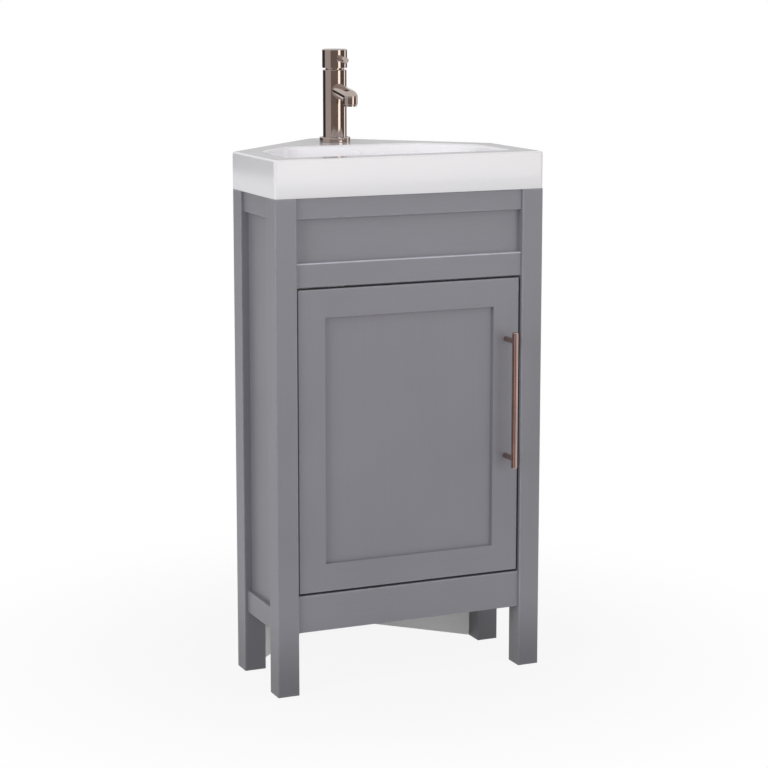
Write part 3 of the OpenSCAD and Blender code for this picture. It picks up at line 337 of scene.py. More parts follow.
def glaze_group():
    """Fired glaze: a slow drift of tone, painted shade low in the bowl, and a gentle
    unevenness with a fine grain. Painted light makes it whiter in the bowl, which is the
    part below the rim and away from the slab's five sides."""
    tree, given, fill = group_tree(
        "fired_glaze",
        [("Glaze", COLOUR, (0.8, 0.8, 0.8, 1)), ("Pooled", COLOUR, (0.7, 0.7, 0.7, 1)),
         ("Rim", FLOAT, 0.85), ("Depth", FLOAT, 0.09), ("Whitening", FLOAT, 0.2)],
        FINISH)
    at = place(tree)
    x, y, z = add(tree, "ShaderNodeSeparateXYZ", {0: at}).outputs
    under = maths(tree, "SUBTRACT", given["Rim"], z)
    below = maths(tree, "DIVIDE", under, given["Depth"])
    across = maths(tree, "ABSOLUTE", x)
    side = maths(tree, "SUBTRACT", HALF_W, across)
    front = maths(tree, "SUBTRACT", y, FRONT)
    back = maths(tree, "SUBTRACT", maths(tree, "SUBTRACT", FRONT + CORNER_Y, y), across)
    back = maths(tree, "MULTIPLY", back, math.sqrt(0.5))
    inward = maths(tree, "MINIMUM", maths(tree, "MINIMUM", side, front), back)
    # Painted light: the glaze is made paler in the bowl, below the rim and away from the slab's sides.
    bowl = maths(tree, "MULTIPLY", spread(tree, inward, 0.022, 0.030, smooth=True),
                 spread(tree, under, 0.5 * MM, 4 * MM, smooth=True))
    # Painted shade: the glaze turns greyer towards the bottom of the bowl.
    bowl_shade = spread(tree, below, 0.55, 1.0, 0.0, 0.5, smooth=True)
    drift = spread(tree, noise(tree, at, 7.0, 2.0), 0.35, 0.65, 0.0, 0.18)
    body = mixed(tree, maths(tree, "ADD", bowl_shade, drift), given["Glaze"], given["Pooled"])
    wave = noise(tree, at, 26.0, 1.0)
    fill(Colour=scaled(tree, body, lifted(tree, bowl, given["Whitening"])),
         Roughness=spread(tree, noise(tree, at, 60.0, 3.0), 0.3, 0.7, 0.12, 0.17),
         Height=maths(tree, "ADD", maths(tree, "MULTIPLY", wave, 0.9),
                      maths(tree, "MULTIPLY", noise(tree, at, 380.0, 1.0), 0.1)))
    return tree


def metal_group():
    """Plated or turned metal: hair-fine tool lines in one direction, a slow drift of
    tone, and faint smudges that dull the polish."""
    tree, given, fill = group_tree(
        "worked_metal",
        [("Metal", COLOUR, (0.5, 0.5, 0.5, 1)), ("Base Roughness", FLOAT, 0.2),
         ("Lines", VECTOR, (40, 40, 3000)), ("Drift", FLOAT, 0.1)],
        FINISH)
    at = place(tree)
    lines = noise(tree, vector_maths(tree, "MULTIPLY", at, given["Lines"]), 1.0, 2.0, 0.6)
    smudge = noise(tree, at, 55.0, 3.0)
    cloud = spread(tree, noise(tree, at, 18.0, 2.0), 0.3, 0.7, -1.0, 1.0)
    tone = maths(tree, "ADD", maths(tree, "MULTIPLY", cloud, given["Drift"]),
                 spread(tree, lines, 0.2, 0.8, 0.94, 1.06))
    rough = maths(tree, "MULTIPLY", given["Base Roughness"], spread(tree, smudge, 0.35, 0.7, 0.85, 1.35))
    rough = maths(tree, "MULTIPLY", rough, spread(tree, lines, 0.2, 0.8, 0.9, 1.1))
    fill(Colour=scaled(tree, given["Metal"], tone), Roughness=rough, Height=lines)
    return tree


def moulded_group():
    """Moulded plastic or rubber: a fine spark-eroded grain and a slow drift of tone."""
    tree, given, fill = group_tree(
        "moulded",
        [("Body", COLOUR, (0.8, 0.8, 0.8, 1)), ("Base Roughness", FLOAT, 0.35)],
        FINISH)
    at = place(tree)
    grain = noise(tree, at, 1400.0, 2.0)
    tone = spread(tree, noise(tree, at, 22.0, 2.0), 0.3, 0.7, 0.95, 1.03)
    fill(Colour=scaled(tree, given["Body"], tone),
         Roughness=maths(tree, "ADD", given["Base Roughness"], spread(tree, grain, 0.3, 0.7, -0.05, 0.08)),
         Height=grain)
    return tree


GROUPS = {}


def group(name):
    """A shared effect, built the first time that a material asks for it."""
    if name not in GROUPS:
        makers = {"edge": edge_group, "board": board_group, "glaze": glaze_group,
                  "metal": metal_group, "moulded": moulded_group}
        GROUPS[name] = paint_group(group("edge")) if name == "paint" else makers[name]()
    return GROUPS[name]


def material(name, effect, bump, shader=None, **sockets):
    """A material whose colour, roughness and height come from a shared effect.
    bump is the height's full relief in metres."""
    made = bpy.data.materials.new(name)
    made.use_nodes = True
    tree = made.node_tree
    principled = tree.nodes["Principled BSDF"]
    out = use(tree, group(effect), **sockets)
    relief = add(tree, "ShaderNodeBump", {"Strength": 1.0, "Distance": bump, "Height": out["Height"]})
    tree.links.new(out["Colour"], principled.inputs["Base Color"])
    tree.links.new(out["Roughness"], principled.inputs["Roughness"])
    tree.links.new(relief.outputs[0], principled.inputs["Normal"])
    for key, value in (shader or {}).items():
        principled.inputs[key].default_value = value
    return made


def rgba(value):
    """A colour property with full alpha."""
    return (value[0], value[1], value[2], 1.0)


def dress(obj, made):
    """Gives every face of an object one material."""
    slots = obj.data.materials
    slots.clear()
    slots.append(made)


def metal(name, setting, relief, roughness, lines, drift):
    """A metal in the colour of one of the metal settings, made when first asked for."""
    if name not in bpy.data.materials:
        tint = rgba(getattr(bpy.context.scene.vanity_metal, setting))
        material(name, "metal", relief, {"Metallic": 1.0}, Metal=tint, Base_Roughness=roughness,
                 Lines=lines, Drift=drift)
    return bpy.data.materials[name]


def brass():
    """Turned brass of the nuts, the shank and the spindle."""
    return metal("turned_brass", "brass", 0.00001, 0.30, (60, 60, 2600), 0.08)


def copper():
    """Brushed copper of the handle."""
    return metal("brushed_copper", "handle", 0.000003, 0.13, (2600, 2600, 30), 0.10)


def bronze():
    """Polished bronze plating of the tap and the waste."""
    return metal("polished_bronze", "tap", 0.0000012, 0.06, (120, 120, 2200), 0.05)


# ---- mesh helpers


def grid_faces(rows, columns, close_rows=False):
    """Quads of a grid of rows that are closed round. Row r and column c give the quad
    (r, c), (r, c + 1), (r + 1, c + 1), (r + 1, c)."""
    last = rows if close_rows else rows - 1
    r, c = np.meshgrid(np.arange(last), np.arange(columns), indexing="ij")
    r2, c2 = (r + 1) % rows, (c + 1) % columns
    return np.stack([r * columns + c, r * columns + c2, r2 * columns + c2, r2 * columns + c],
                    axis=-1).reshape(-1, 4)


def piece(name, points, faces, sharp=40.0):
    """A mesh object of points and faces, smooth except across edges sharper than the
    given angle in degrees."""
    mesh = bpy.data.meshes.new(name)
    mesh.from_pydata(np.asarray(points, float).tolist(), [], [f.tolist() for f in faces])
    mesh.validate()
    mesh.polygons.foreach_set("use_smooth", np.ones(len(mesh.polygons), bool))
    mesh.set_sharp_from_angle(angle=math.radians(sharp))
    obj = bpy.data.objects.new(name, mesh)
    bpy.context.scene.collection.objects.link(obj)
    return obj


def supported(profile, closed=False):
    """A profile with a row close to both ends of every long side, so that smooth
    shading stays straight along the side: rows at a + t (b - a) and b - t (b - a),
    with t the support distance over the side's length."""
    profile = np.asarray(profile, float)
    a, b = (profile, np.roll(profile, -1, 0)) if closed else (profile[:-1], profile[1:])
    reach = np.linalg.norm(b - a, axis=1)
    t = (SUPPORT / np.maximum(reach, SUPPORT))[:, None]
    rows = np.stack([a, a + t * (b - a), b - t * (b - a)], 1)
    keep = np.stack([np.ones(len(a), bool), reach > 4 * SUPPORT, reach > 4 * SUPPORT], 1)
    rows = rows[keep]
    return rows if closed else np.vstack([rows, profile[-1:]])


def carried_round(profile, axes, steps):
    """Rows of (radius, height) carried round an axis, as a grid of points:
    point = centre + radius (cos a side + sin a front) + height axis."""
    centre, side, front, axis = (np.asarray(v, float) for v in axes)
    a = np.arange(steps) * TAU / steps
    ring = np.cos(a)[:, None] * side + np.sin(a)[:, None] * front
    return centre + profile[:, 0, None, None] * ring + profile[:, 1, None, None] * axis


def turned(profile, axes, steps=128):
    """A solid of revolution: an open profile carried round, with its ends drawn
    together into poles."""
    return capped(carried_round(supported(profile), axes, steps))


def ring_surface(profile, axes, steps):
    """A hollow of revolution: a closed profile carried round, with no poles."""
    profile = supported(profile, closed=True)
    points = carried_round(profile, axes, steps)
    return points.reshape(-1, 3), list(grid_faces(len(profile), steps, close_rows=True))


def capped(points):
    """Points and faces of a stack of closed rings, whose first and last rings are
    drawn together into poles."""
    rows, columns = points.shape[:2]
    body = points.reshape(-1, 3)
    faces = list(grid_faces(rows, columns))
    c = np.arange(columns)
    nxt = (c + 1) % columns
    first, last = len(body), len(body) + 1
    poles = np.stack([points[0].mean(0), points[-1].mean(0)])
    faces += list(np.stack([nxt, c, np.full(columns, first)], -1))
    top = (rows - 1) * columns
    faces += list(np.stack([top + c, top + nxt, np.full(columns, last)], -1))
    return np.vstack([body, poles]), faces


def upright(x, y, z):
    """Axes for a piece turned about a vertical line."""
    return (x, y, z), (1, 0, 0), (0, 1, 0), (0, 0, 1)


def rounded_profile(corners, steps=6):
    """A profile of (radius, height, rounding) corners with each corner replaced by an
    arc of its rounding: the arc touches both neighbouring sides."""
    corners = [np.asarray(c, float) for c in corners]
    out = []
    for i, corner in enumerate(corners):
        point, r = corner[:2], corner[2]
        if r == 0 or i in (0, len(corners) - 1):
            out.append(point[None])
            continue
        back = corners[i - 1][:2] - point
        ahead = corners[i + 1][:2] - point
        back, ahead = back / np.linalg.norm(back), ahead / np.linalg.norm(ahead)
        half = math.acos(np.clip(back @ ahead, -1, 1)) / 2
        start, end = point + back * r / math.tan(half), point + ahead * r / math.tan(half)
        centre = point + (back + ahead) / np.linalg.norm(back + ahead) * r / math.sin(half)
        t = np.linspace(0, 1, steps + 1)[:, None]
        a, b = start - centre, end - centre
        angle = math.pi - 2 * half
        out.append(centre + (np.sin((1 - t) * angle) * a + np.sin(t * angle) * b) / math.sin(angle))
    return np.vstack(out)


def rod(r, low, high, low_round, high_round, steps=4):
    """The profile of a round rod with its two end edges rounded."""
    return rounded_profile([(0, low, 0), (r, low, low_round), (r, high, high_round), (0, high, 0)], steps)


def finish_piece(obj, made, body, slot, *nodes):
    """Dresses a new piece, sets it on its body and hides the CAD nodes that it stands in for."""
    dress(obj, made)
    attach(obj, body)
    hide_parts(*nodes)


def stand_in(name, surface, made, body, slot, *nodes):
    """Makes a new piece from its points and faces and finishes it."""
    finish_piece(piece(name, *surface), made, body, slot, *nodes)


def plated(name, surface, node, body="cabinet"):
    """A new piece of the tap or the waste, in polished bronze."""
    stand_in(name, surface, bronze(), body, "tap_metal", node)


# ---- cabinet

POSTS = ("front_left_post", "front_right_post", "rear_left_post", "rear_right_post")
CROSS_RAILS = ("top_front_rail", "middle_front_rail", "bottom_front_rail", "false_drawer_panel",
               "door_top_rail", "door_bottom_rail", "door_stops")
DOOR_FRAME = ("door_left_stile", "door_right_stile", "door_top_rail", "door_bottom_rail")
SIDE_RAILS = ("left_top_rail", "left_bottom_rail", "right_top_rail", "right_bottom_rail")
UPRIGHTS = POSTS + ("left_side_panel", "right_side_panel", "door_left_stile", "door_right_stile",
                    "door_panel")
LEDGE = "middle_front_rail"
NO_LEDGE = 10.0
STOP_STRIP = (-0.100, 0.185)
FINE, LONG = 520.0, 9.0


def bounds_of(nodes):
    """The box round several CAD nodes."""
    boxes = np.array([[list(v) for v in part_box(node)] for node in nodes])
    return boxes[:, 0].min(0), boxes[:, 1].max(0)


def paint_node(node, grain):
    """Paints one CAD node, with the paler band along its box's edges, partly paint worn
    thin and partly a painted highlight. The door's frame is one surface, so its pieces
    share one box and no band crosses their joints. The middle rail also has a painted
    highlight on its upper face and arris."""
    s = bpy.context.scene.vanity_cabinet
    low, high = bounds_of(DOOR_FRAME if node in DOOR_FRAME else (node,))
    made = material(
        "paint_" + node, "paint", 0.00006,
        Paint=rgba(s.paint), Base_Roughness=s.paint_roughness, Low=low, High=high, Grain=grain,
        Edge_Width=s.edge_width, Edge_Lift=s.edge_lift,
        Ledge=high[2] - s.ledge_highlight_width if node == LEDGE else NO_LEDGE,
        Ledge_Lift=s.ledge_lift if node == LEDGE else 0.0)
    dress(NODES[node], made)


class VANITY_OT_frame(bpy.types.Operator):
    """Paint the posts, rails and panels of the cabinet and the door"""

    bl_idname = "vanity.frame"
    bl_label = "Painted frame"

    def execute(self, context):
        for nodes, grain in ((UPRIGHTS, (FINE, FINE, LONG)), (CROSS_RAILS, (LONG, FINE, FINE)),
                             (SIDE_RAILS, (FINE, LONG, FINE))):
            for node in nodes:
                paint_node(node, grain)
        low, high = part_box("door_stops")
        strip = rounded_block((STOP_STRIP[0], low.y, low.z), (STOP_STRIP[1], high.y, high.z), 0.6 * MM)
        stand_in("door_stop_strip", strip, NODES["door_stops"].data.materials[0], "cabinet",
                 "cabinet_paint", "door_stops")
        return {"FINISHED"}


class VANITY_OT_boards(bpy.types.Operator):
    """Face the back panels, floor, shelf and packers with melamine"""

    bl_idname = "vanity.boards"
    bl_label = "Boards"

    def execute(self, context):
        s = context.scene.vanity_cabinet
        diagonal = math.sqrt(0.5)
        through = {
            "left_back_panel": (-diagonal, diagonal, 0), "right_back_panel": (diagonal, diagonal, 0),
            "cabinet_floor": (0, 0, 1), "shelf": (0, 0, 1), "corner_batten": (0, -1, 0),
            "hinge_blocks": (1, 0, 0),
        }
        for node, direction in through.items():
            made = material("board_" + node, "board", 0.00008, Face=rgba(s.board), Core=rgba(s.core),
                            Through=direction)
            dress(NODES[node], made)
        return {"FINISHED"}


class VANITY_OT_fittings(bpy.types.Operator):
    """Plate the hinges, screws and pegs"""

    bl_idname = "vanity.fittings"
    bl_label = "Hinges and screws"

    def execute(self, context):
        s = context.scene.vanity_metal
        steel = metal("plated_steel", "steel", 0.00001, 0.24, (900, 900, 60), 0.05)
        rubber = material("black_rubber", "moulded", 0.00003, Body=rgba(s.rubber), Base_Roughness=0.62)
        plastic = material("white_plastic", "moulded", 0.00002, Body=rgba(s.plastic), Base_Roughness=0.32)
        for made, nodes in (
                (steel, ("shelf_pegs", "handle_screws", "hinge_cups", "hinge_cup_screws", "hinge_links",
                         "hinge_arms", "hinge_plates", "hinge_plate_screws", "tap_pivot_pin")),
                (brass(), ("hinge_pins", "waste_backnut", "tap_shank", "tap_backnut")),
                (rubber, ("waste_washers", "tap_washer")),
                (plastic, ("trap_nuts", "trap_body", "trap_bottle", "outlet_pipe", "tap_cartridge"))):
            for node in nodes:
                dress(NODES[node], made)
        return {"FINISHED"}


# ---- handle


class VANITY_OT_handle(bpy.types.Operator):
    """Turn the handle's bar, and dress it and its two posts in brushed copper"""

    bl_idname = "vanity.handle"
    bl_label = "Bar handle"

    def execute(self, context):
        low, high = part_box("handle_bar")
        r = (high.x - low.x) / 2
        x, y = (low.x + high.x) / 2, low.y + r
        end = 1.2 * MM
        bar = rod(r, low.z, high.z, end, end, 8)
        obj = piece("handle_bar_turned", *turned(bar, upright(x, y, 0), 96), sharp=60)
        finish_piece(obj, copper(), "door", "handle_metal", "handle_bar")
        dress(NODES["handle_posts"], copper())
        return {"FINISHED"}


# ---- basin


HALF_W = BASIN_HIGH.x
SIDE_D = 0.188
CORNER_Y = SIDE_D + HALF_W
SLAB_H = 0.060
TAP_HOLE_R = 0.0175
WASTE_Y = 0.140
WASTE_HOLE = 0.0225
WASTE_SEAT = 0.032
WASTE_BOSS = 0.034
OVERFLOW_R = 0.011
OVERFLOW_DROP = 0.034
BACK_WALL_Y = 0.240
BOWL_WALLS = ((0, HALF_W - 0.040), (45, 0.152), (90, 0.100), (135, 0.152), (180, HALF_W - 0.040),
              (270, WASTE_Y - 0.042))


def slab_outline(inset, corner, apex, steps=12):
    """The five-sided plan drawn in by a distance, with arcs on its corners, as a closed
    line of points. Each arc is worked out as in rounded_profile."""
    x = HALF_W - inset
    y = SIDE_D - inset * (math.sqrt(2) - 1)
    tip = CORNER_Y - inset * math.sqrt(2)
    points = [(-x, inset), (x, inset), (x, y), (0, tip), (-x, y)]
    radii = [corner, corner, corner, apex, corner]
    wrapped = [points[-1] + (0,)] + [p + (r,) for p, r in zip(points, radii)] + [points[0] + (0,)]
    return rounded_profile(wrapped, steps)[1:-1]


def ray_reach(angles, outline, centre):
    """Distance from a centre to a closed line in each direction: the crossing of the
    ray with the one segment that it meets."""
    a = outline - centre
    b = np.roll(a, -1, axis=0)
    d = np.stack([np.cos(angles), np.sin(angles)], -1)[:, None]
    edge = (b - a)[None]
    cross = d[..., 0] * edge[..., 1] - d[..., 1] * edge[..., 0]
    cross = np.where(np.abs(cross) < 1e-12, 1e-12, cross)
    t = (a[None, :, 0] * edge[..., 1] - a[None, :, 1] * edge[..., 0]) / cross
    s = (a[None, :, 0] * d[..., 1] - a[None, :, 1] * d[..., 0]) / cross
    good = (t > 0) & (s >= -1e-9) & (s <= 1 + 1e-9)
    return np.where(good, t, np.inf).min(1)


def bowl_reach(angles, inset, power):
    """Distance from the waste to the bowl's wall: the walls' distances, each divided by
    the cosine of the angle to it, blended by a power mean that rounds the corners."""
    total = np.zeros_like(angles)
    for direction, distance in BOWL_WALLS:
        cosine = np.maximum(0, np.cos(angles - math.radians(direction)))
        total += (cosine / (distance - inset)) ** power
    return total ** (-1 / power)


def basin_surface(s):
    """The basin as one closed skin of rings round the waste. Each ring is a distance
    for every direction and a height. The rings run up the slab's side, over the deck,
    down the bowl to the waste hole, and back along the underside."""
    centre = np.array([0.0, WASTE_Y])
    outline = slab_outline(0, s.corner_radius, s.apex_radius) - centre
    corner_angles = np.arctan2(outline[:, 1], outline[:, 0])
    even_angles = np.arange(-180, 180, 1.0) * math.pi / 180
    angles = np.unique(np.round(np.concatenate([even_angles, corner_angles]), 6))
    angles = angles[np.concatenate([[True], np.diff(angles) > 5e-4])]
    slab_z = RIM - SLAB_H

    def slab(inset):
        corner = max(s.corner_radius - inset, 5e-4)
        return ray_reach(angles, slab_outline(inset, corner, s.apex_radius - inset), centre)

    rings = []
    foot = 1.0 * MM
    for t in np.linspace(0, math.pi / 2, 4):
        rings.append((slab(foot * (1 - math.sin(t))), slab_z + foot * (1 - math.cos(t))))
    rings.append((slab(0), slab_z + 0.020))
    for t in np.linspace(0, math.pi / 2, 9):
        rings.append((slab(s.arris * (1 - math.cos(t))), RIM - s.arris * (1 - math.sin(t))))
    deck = slab(s.arris + 1.5 * MM)
    lip = bowl_reach(angles, -s.lip - 1.5 * MM, 20)
    for k in (0.0, 0.33, 0.66, 1.0):
        rings.append((deck * (1 - k) + lip * k, RIM))
    for t in np.linspace(0, math.pi / 2, 9):
        rings.append((bowl_reach(angles, s.lip * (math.sin(t) - 1), 20), RIM - s.lip * (1 - math.cos(t))))
    wall_drop = s.depth - 6 * MM - s.fillet
    for k in (0.3, 0.6, 0.9):
        drop = s.lip + (wall_drop - s.lip) * k
        rings.append((bowl_reach(angles, s.taper * k, 20), RIM - drop))
    for t in np.linspace(0, math.pi / 2, 13):
        inset = s.taper + s.fillet * (1 - math.cos(t))
        rings.append((bowl_reach(angles, inset, 20 - 10 * t / (math.pi / 2)),
                      RIM - wall_drop - s.fillet * math.sin(t)))
    floor = rings[-1][0]
    for k in np.linspace(0.12, 1, 8):
        rings.append((floor * (1 - k) + WASTE_SEAT * k, RIM - s.depth + 6 * MM * (1 - k) ** 1.3))
    circle = np.ones_like(angles)
    floor_z = RIM - s.depth
    seat_z = floor_z - s.shell - 6 * MM
    rings += [(circle * (WASTE_HOLE + 1 * MM), floor_z), (circle * WASTE_HOLE, floor_z - 1 * MM),
              (circle * WASTE_HOLE, seat_z), (circle * WASTE_BOSS, seat_z),
              (circle * WASTE_BOSS, floor_z - s.shell)]
    for k in np.linspace(1, 0, 6)[1:]:
        under = bowl_reach(angles, s.taper + s.fillet - 0.3 * s.shell, 10)
        rings.append((under * (1 - k) + WASTE_BOSS * k, floor_z - s.shell + 6 * MM * (1 - k)))
    for t in np.linspace(math.pi / 2, 0, 9)[1:]:
        c = 1 - math.cos(t)
        inset = s.taper + s.fillet * c - s.shell * math.cos(t) - 0.3 * c * s.shell
        rings.append((bowl_reach(angles, inset, 20 - 10 * t / (math.pi / 2)),
                      RIM - wall_drop - (s.fillet + s.shell) * math.sin(t)))
    k = (s.wall - s.lip) / (wall_drop - s.lip)
    rings.append((bowl_reach(angles, s.taper * k - s.shell, 20), RIM - s.wall))
    rings.append((slab(s.wall), RIM - s.wall))
    rings.append((slab(s.wall), slab_z))

    reach = np.stack([r for r, _ in rings])
    z = np.array([h for _, h in rings])[:, None] * np.ones_like(reach)
    points = np.stack([reach * np.cos(angles), WASTE_Y + FRONT + reach * np.sin(angles), z], -1)
    rows, columns = reach.shape
    return points.reshape(-1, 3), list(grid_faces(rows, columns, close_rows=True))


def rounded_block(low, high, r, steps=5):
    """A block with round edges: each direction n on a sphere, with the lines between
    its eight parts doubled, gives centre + sign(n) (half - r) + r n."""
    low, high = np.asarray(low, float), np.asarray(high, float)
    half, centre = (high - low) / 2, (high + low) / 2
    quarter = np.linspace(0, math.pi / 2, steps + 1)
    up = np.concatenate([quarter - math.pi / 2, quarter])
    round_ = np.concatenate([quarter + k * math.pi / 2 for k in range(4)])
    sign_z = np.repeat([-1, 1], steps + 1)[:, None]
    sign_x = np.repeat([1, -1, -1, 1], steps + 1)[None]
    sign_y = np.repeat([1, 1, -1, -1], steps + 1)[None]
    n = np.stack([np.cos(up)[:, None] * np.cos(round_), np.cos(up)[:, None] * np.sin(round_),
                  np.sin(up)[:, None] * np.ones_like(round_)], -1)
    sign = np.stack(np.broadcast_arrays(sign_x, sign_y, sign_z), -1)
    return capped(centre + sign * (half - r) + r * n)


def bored(obj, *cutters):
    """Cuts closed shapes out of a piece, leaves its new edges sharp, and removes the
    cutters."""
    for cutter in cutters:
        cut = obj.modifiers.new("bore", "BOOLEAN")
        cut.object = cutter
        cut.operation = "DIFFERENCE"
        cut.solver = "EXACT"
    depsgraph = bpy.context.evaluated_depsgraph_get()
    mesh = bpy.data.meshes.new_from_object(obj.evaluated_get(depsgraph))
    obj.modifiers.clear()
    obj.data = mesh
    mesh.set_sharp_from_angle(angle=math.radians(40))
    for cutter in cutters:
        bpy.data.objects.remove(cutter)


def leaning_axes():
    """Axes of the overflow, square to the bowl's leaning back wall."""
    s = bpy.context.scene.vanity_basin
    wall_drop = s.depth - 6 * MM - s.fillet
    lean = math.atan(s.taper / (wall_drop - s.lip))
    z = RIM - OVERFLOW_DROP
    y = FRONT + BACK_WALL_Y - (RIM - z - s.lip) * math.tan(lean)
    axis = np.array([0, math.cos(lean), -math.sin(lean)])
    up = np.array([0, math.sin(lean), math.cos(lean)])
    return (0, y, z), (1, 0, 0), -up, axis


def overflow_bore():
    """The cutter of the overflow, from just before the bowl's wall into the duct."""
    return piece("overflow_bore", *turned([(OVERFLOW_R, -0.004), (OVERFLOW_R, 0.0245)], leaning_axes(), 64))


class VANITY_OT_basin(bpy.types.Operator):
    """Cast the basin: slab, bowl, underside, overflow duct and bores"""

    bl_idname = "vanity.basin"
    bl_label = "Basin"

    def execute(self, context):
        s = context.scene.vanity_basin
        fired = material("fired_glaze", "glaze", 0.00012, {"Coat Weight": 0.15, "Coat Roughness": 0.08},
                         Glaze=rgba(s.glaze), Pooled=rgba(s.pooled), Rim=RIM, Depth=s.depth)
        obj = piece("basin_cast", *basin_surface(s))
        hole = turned([(TAP_HOLE_R, RIM - 0.014), (TAP_HOLE_R, RIM + 0.002)], upright(0, TAP_Y, 0), 96)
        bored(obj, piece("tap_hole", *hole), overflow_bore())
        finish_piece(obj, fired, "cabinet", "glaze", "basin")
        low, high = (-0.015, FRONT + 0.236, RIM - 0.107), (0.015, FRONT + 0.273, RIM - 0.0115)
        duct = piece("basin_duct", *rounded_block(low, high, 0.0025))
        shaft = turned([(0.008, RIM - 0.100), (0.008, RIM - 0.030)], upright(0, FRONT + 0.259, 0), 48)
        bored(duct, piece("duct_bore", *shaft), overflow_bore())
        finish_piece(duct, fired, "cabinet", "glaze", "basin")
        return {"FINISHED"}


class VANITY_OT_waste(bpy.types.Operator):
    """Turn the overflow ring and the waste's plug, and dress the waste's body and flange in bronze"""

    bl_idname = "vanity.waste"
    bl_label = "Waste and overflow"

    def execute(self, context):
        r = OVERFLOW_R
        ring = rounded_profile([
            (r - 1.5 * MM, 11 * MM, 0), (r - 1.5 * MM, -1.6 * MM, 0.6 * MM),
            (r + 1.0 * MM, -1.8 * MM, 0.8 * MM), (r + 2.6 * MM, -0.3 * MM, 0.25 * MM),
            (r + 2.6 * MM, 0.05 * MM, 0), (r - 0.1 * MM, 0.05 * MM, 0), (r - 0.1 * MM, 11 * MM, 0)])
        plated("overflow_ring_turned", ring_surface(ring, leaning_axes(), 96), "overflow_ring")
        dress(NODES["waste_body"], bronze())
        low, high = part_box("waste_plug")
        top = high.z
        plug = rounded_profile([
            (0, low.z, 0), (5 * MM, low.z, 0.5 * MM), (5 * MM, top - 7.6 * MM, 1 * MM),
            (9 * MM, top - 5.6 * MM, 1 * MM), (29 * MM, top - 5.6 * MM, 0.4 * MM),
            (30 * MM, top - 4.1 * MM, 0.4 * MM), (29 * MM, top - 2.6 * MM, 0.8 * MM),
            (20 * MM, top - 1.0 * MM, 8 * MM), (10 * MM, top - 0.2 * MM, 6 * MM), (0, top, 0)])
        plated("waste_plug_turned", turned(plug, upright(0, FRONT + WASTE_Y, 0)), "waste_plug", "waste_plug")
        return {"FINISHED"}


# ---- tap

TAP_AXES = upright(0, TAP_Y, 0)
STEM_R = 7 * MM
MIXING_R = 6 * MM
COLLAR_H = 3.6 * MM
SPOUT_SLOPE = math.radians(9)
SPOUT_R, SPOUT_START = 12 * MM, 16 * MM
OUTLET_REACH, OUTLET_DROP = 68 * MM, 12.5 * MM
MOUTH_R = SPOUT_R - 0.05 * MM
FLANGE_BORE = 16 * MM
JOINT_GAP = 0.02 * MM


def spout_bar(root, reach):
    """A round bar that runs forward and down along (0, -cos q, -sin q), q being the
    spout's slope, and ends in half a ball: radius = r cos t, length = reach + r sin t."""
    t = np.linspace(0, math.pi / 2, 25)[:-1]
    ball = np.stack([SPOUT_R * np.cos(t), reach + SPOUT_R * np.sin(t)], -1)
    profile = np.vstack([[(0, 0), (SPOUT_R, 0)], ball, [(0, reach + SPOUT_R)]])
    up = (0, -math.sin(SPOUT_SLOPE), math.cos(SPOUT_SLOPE))
    along = (0, -math.cos(SPOUT_SLOPE), -math.sin(SPOUT_SLOPE))
    return turned(profile, (root, (1, 0, 0), up, along), 96)


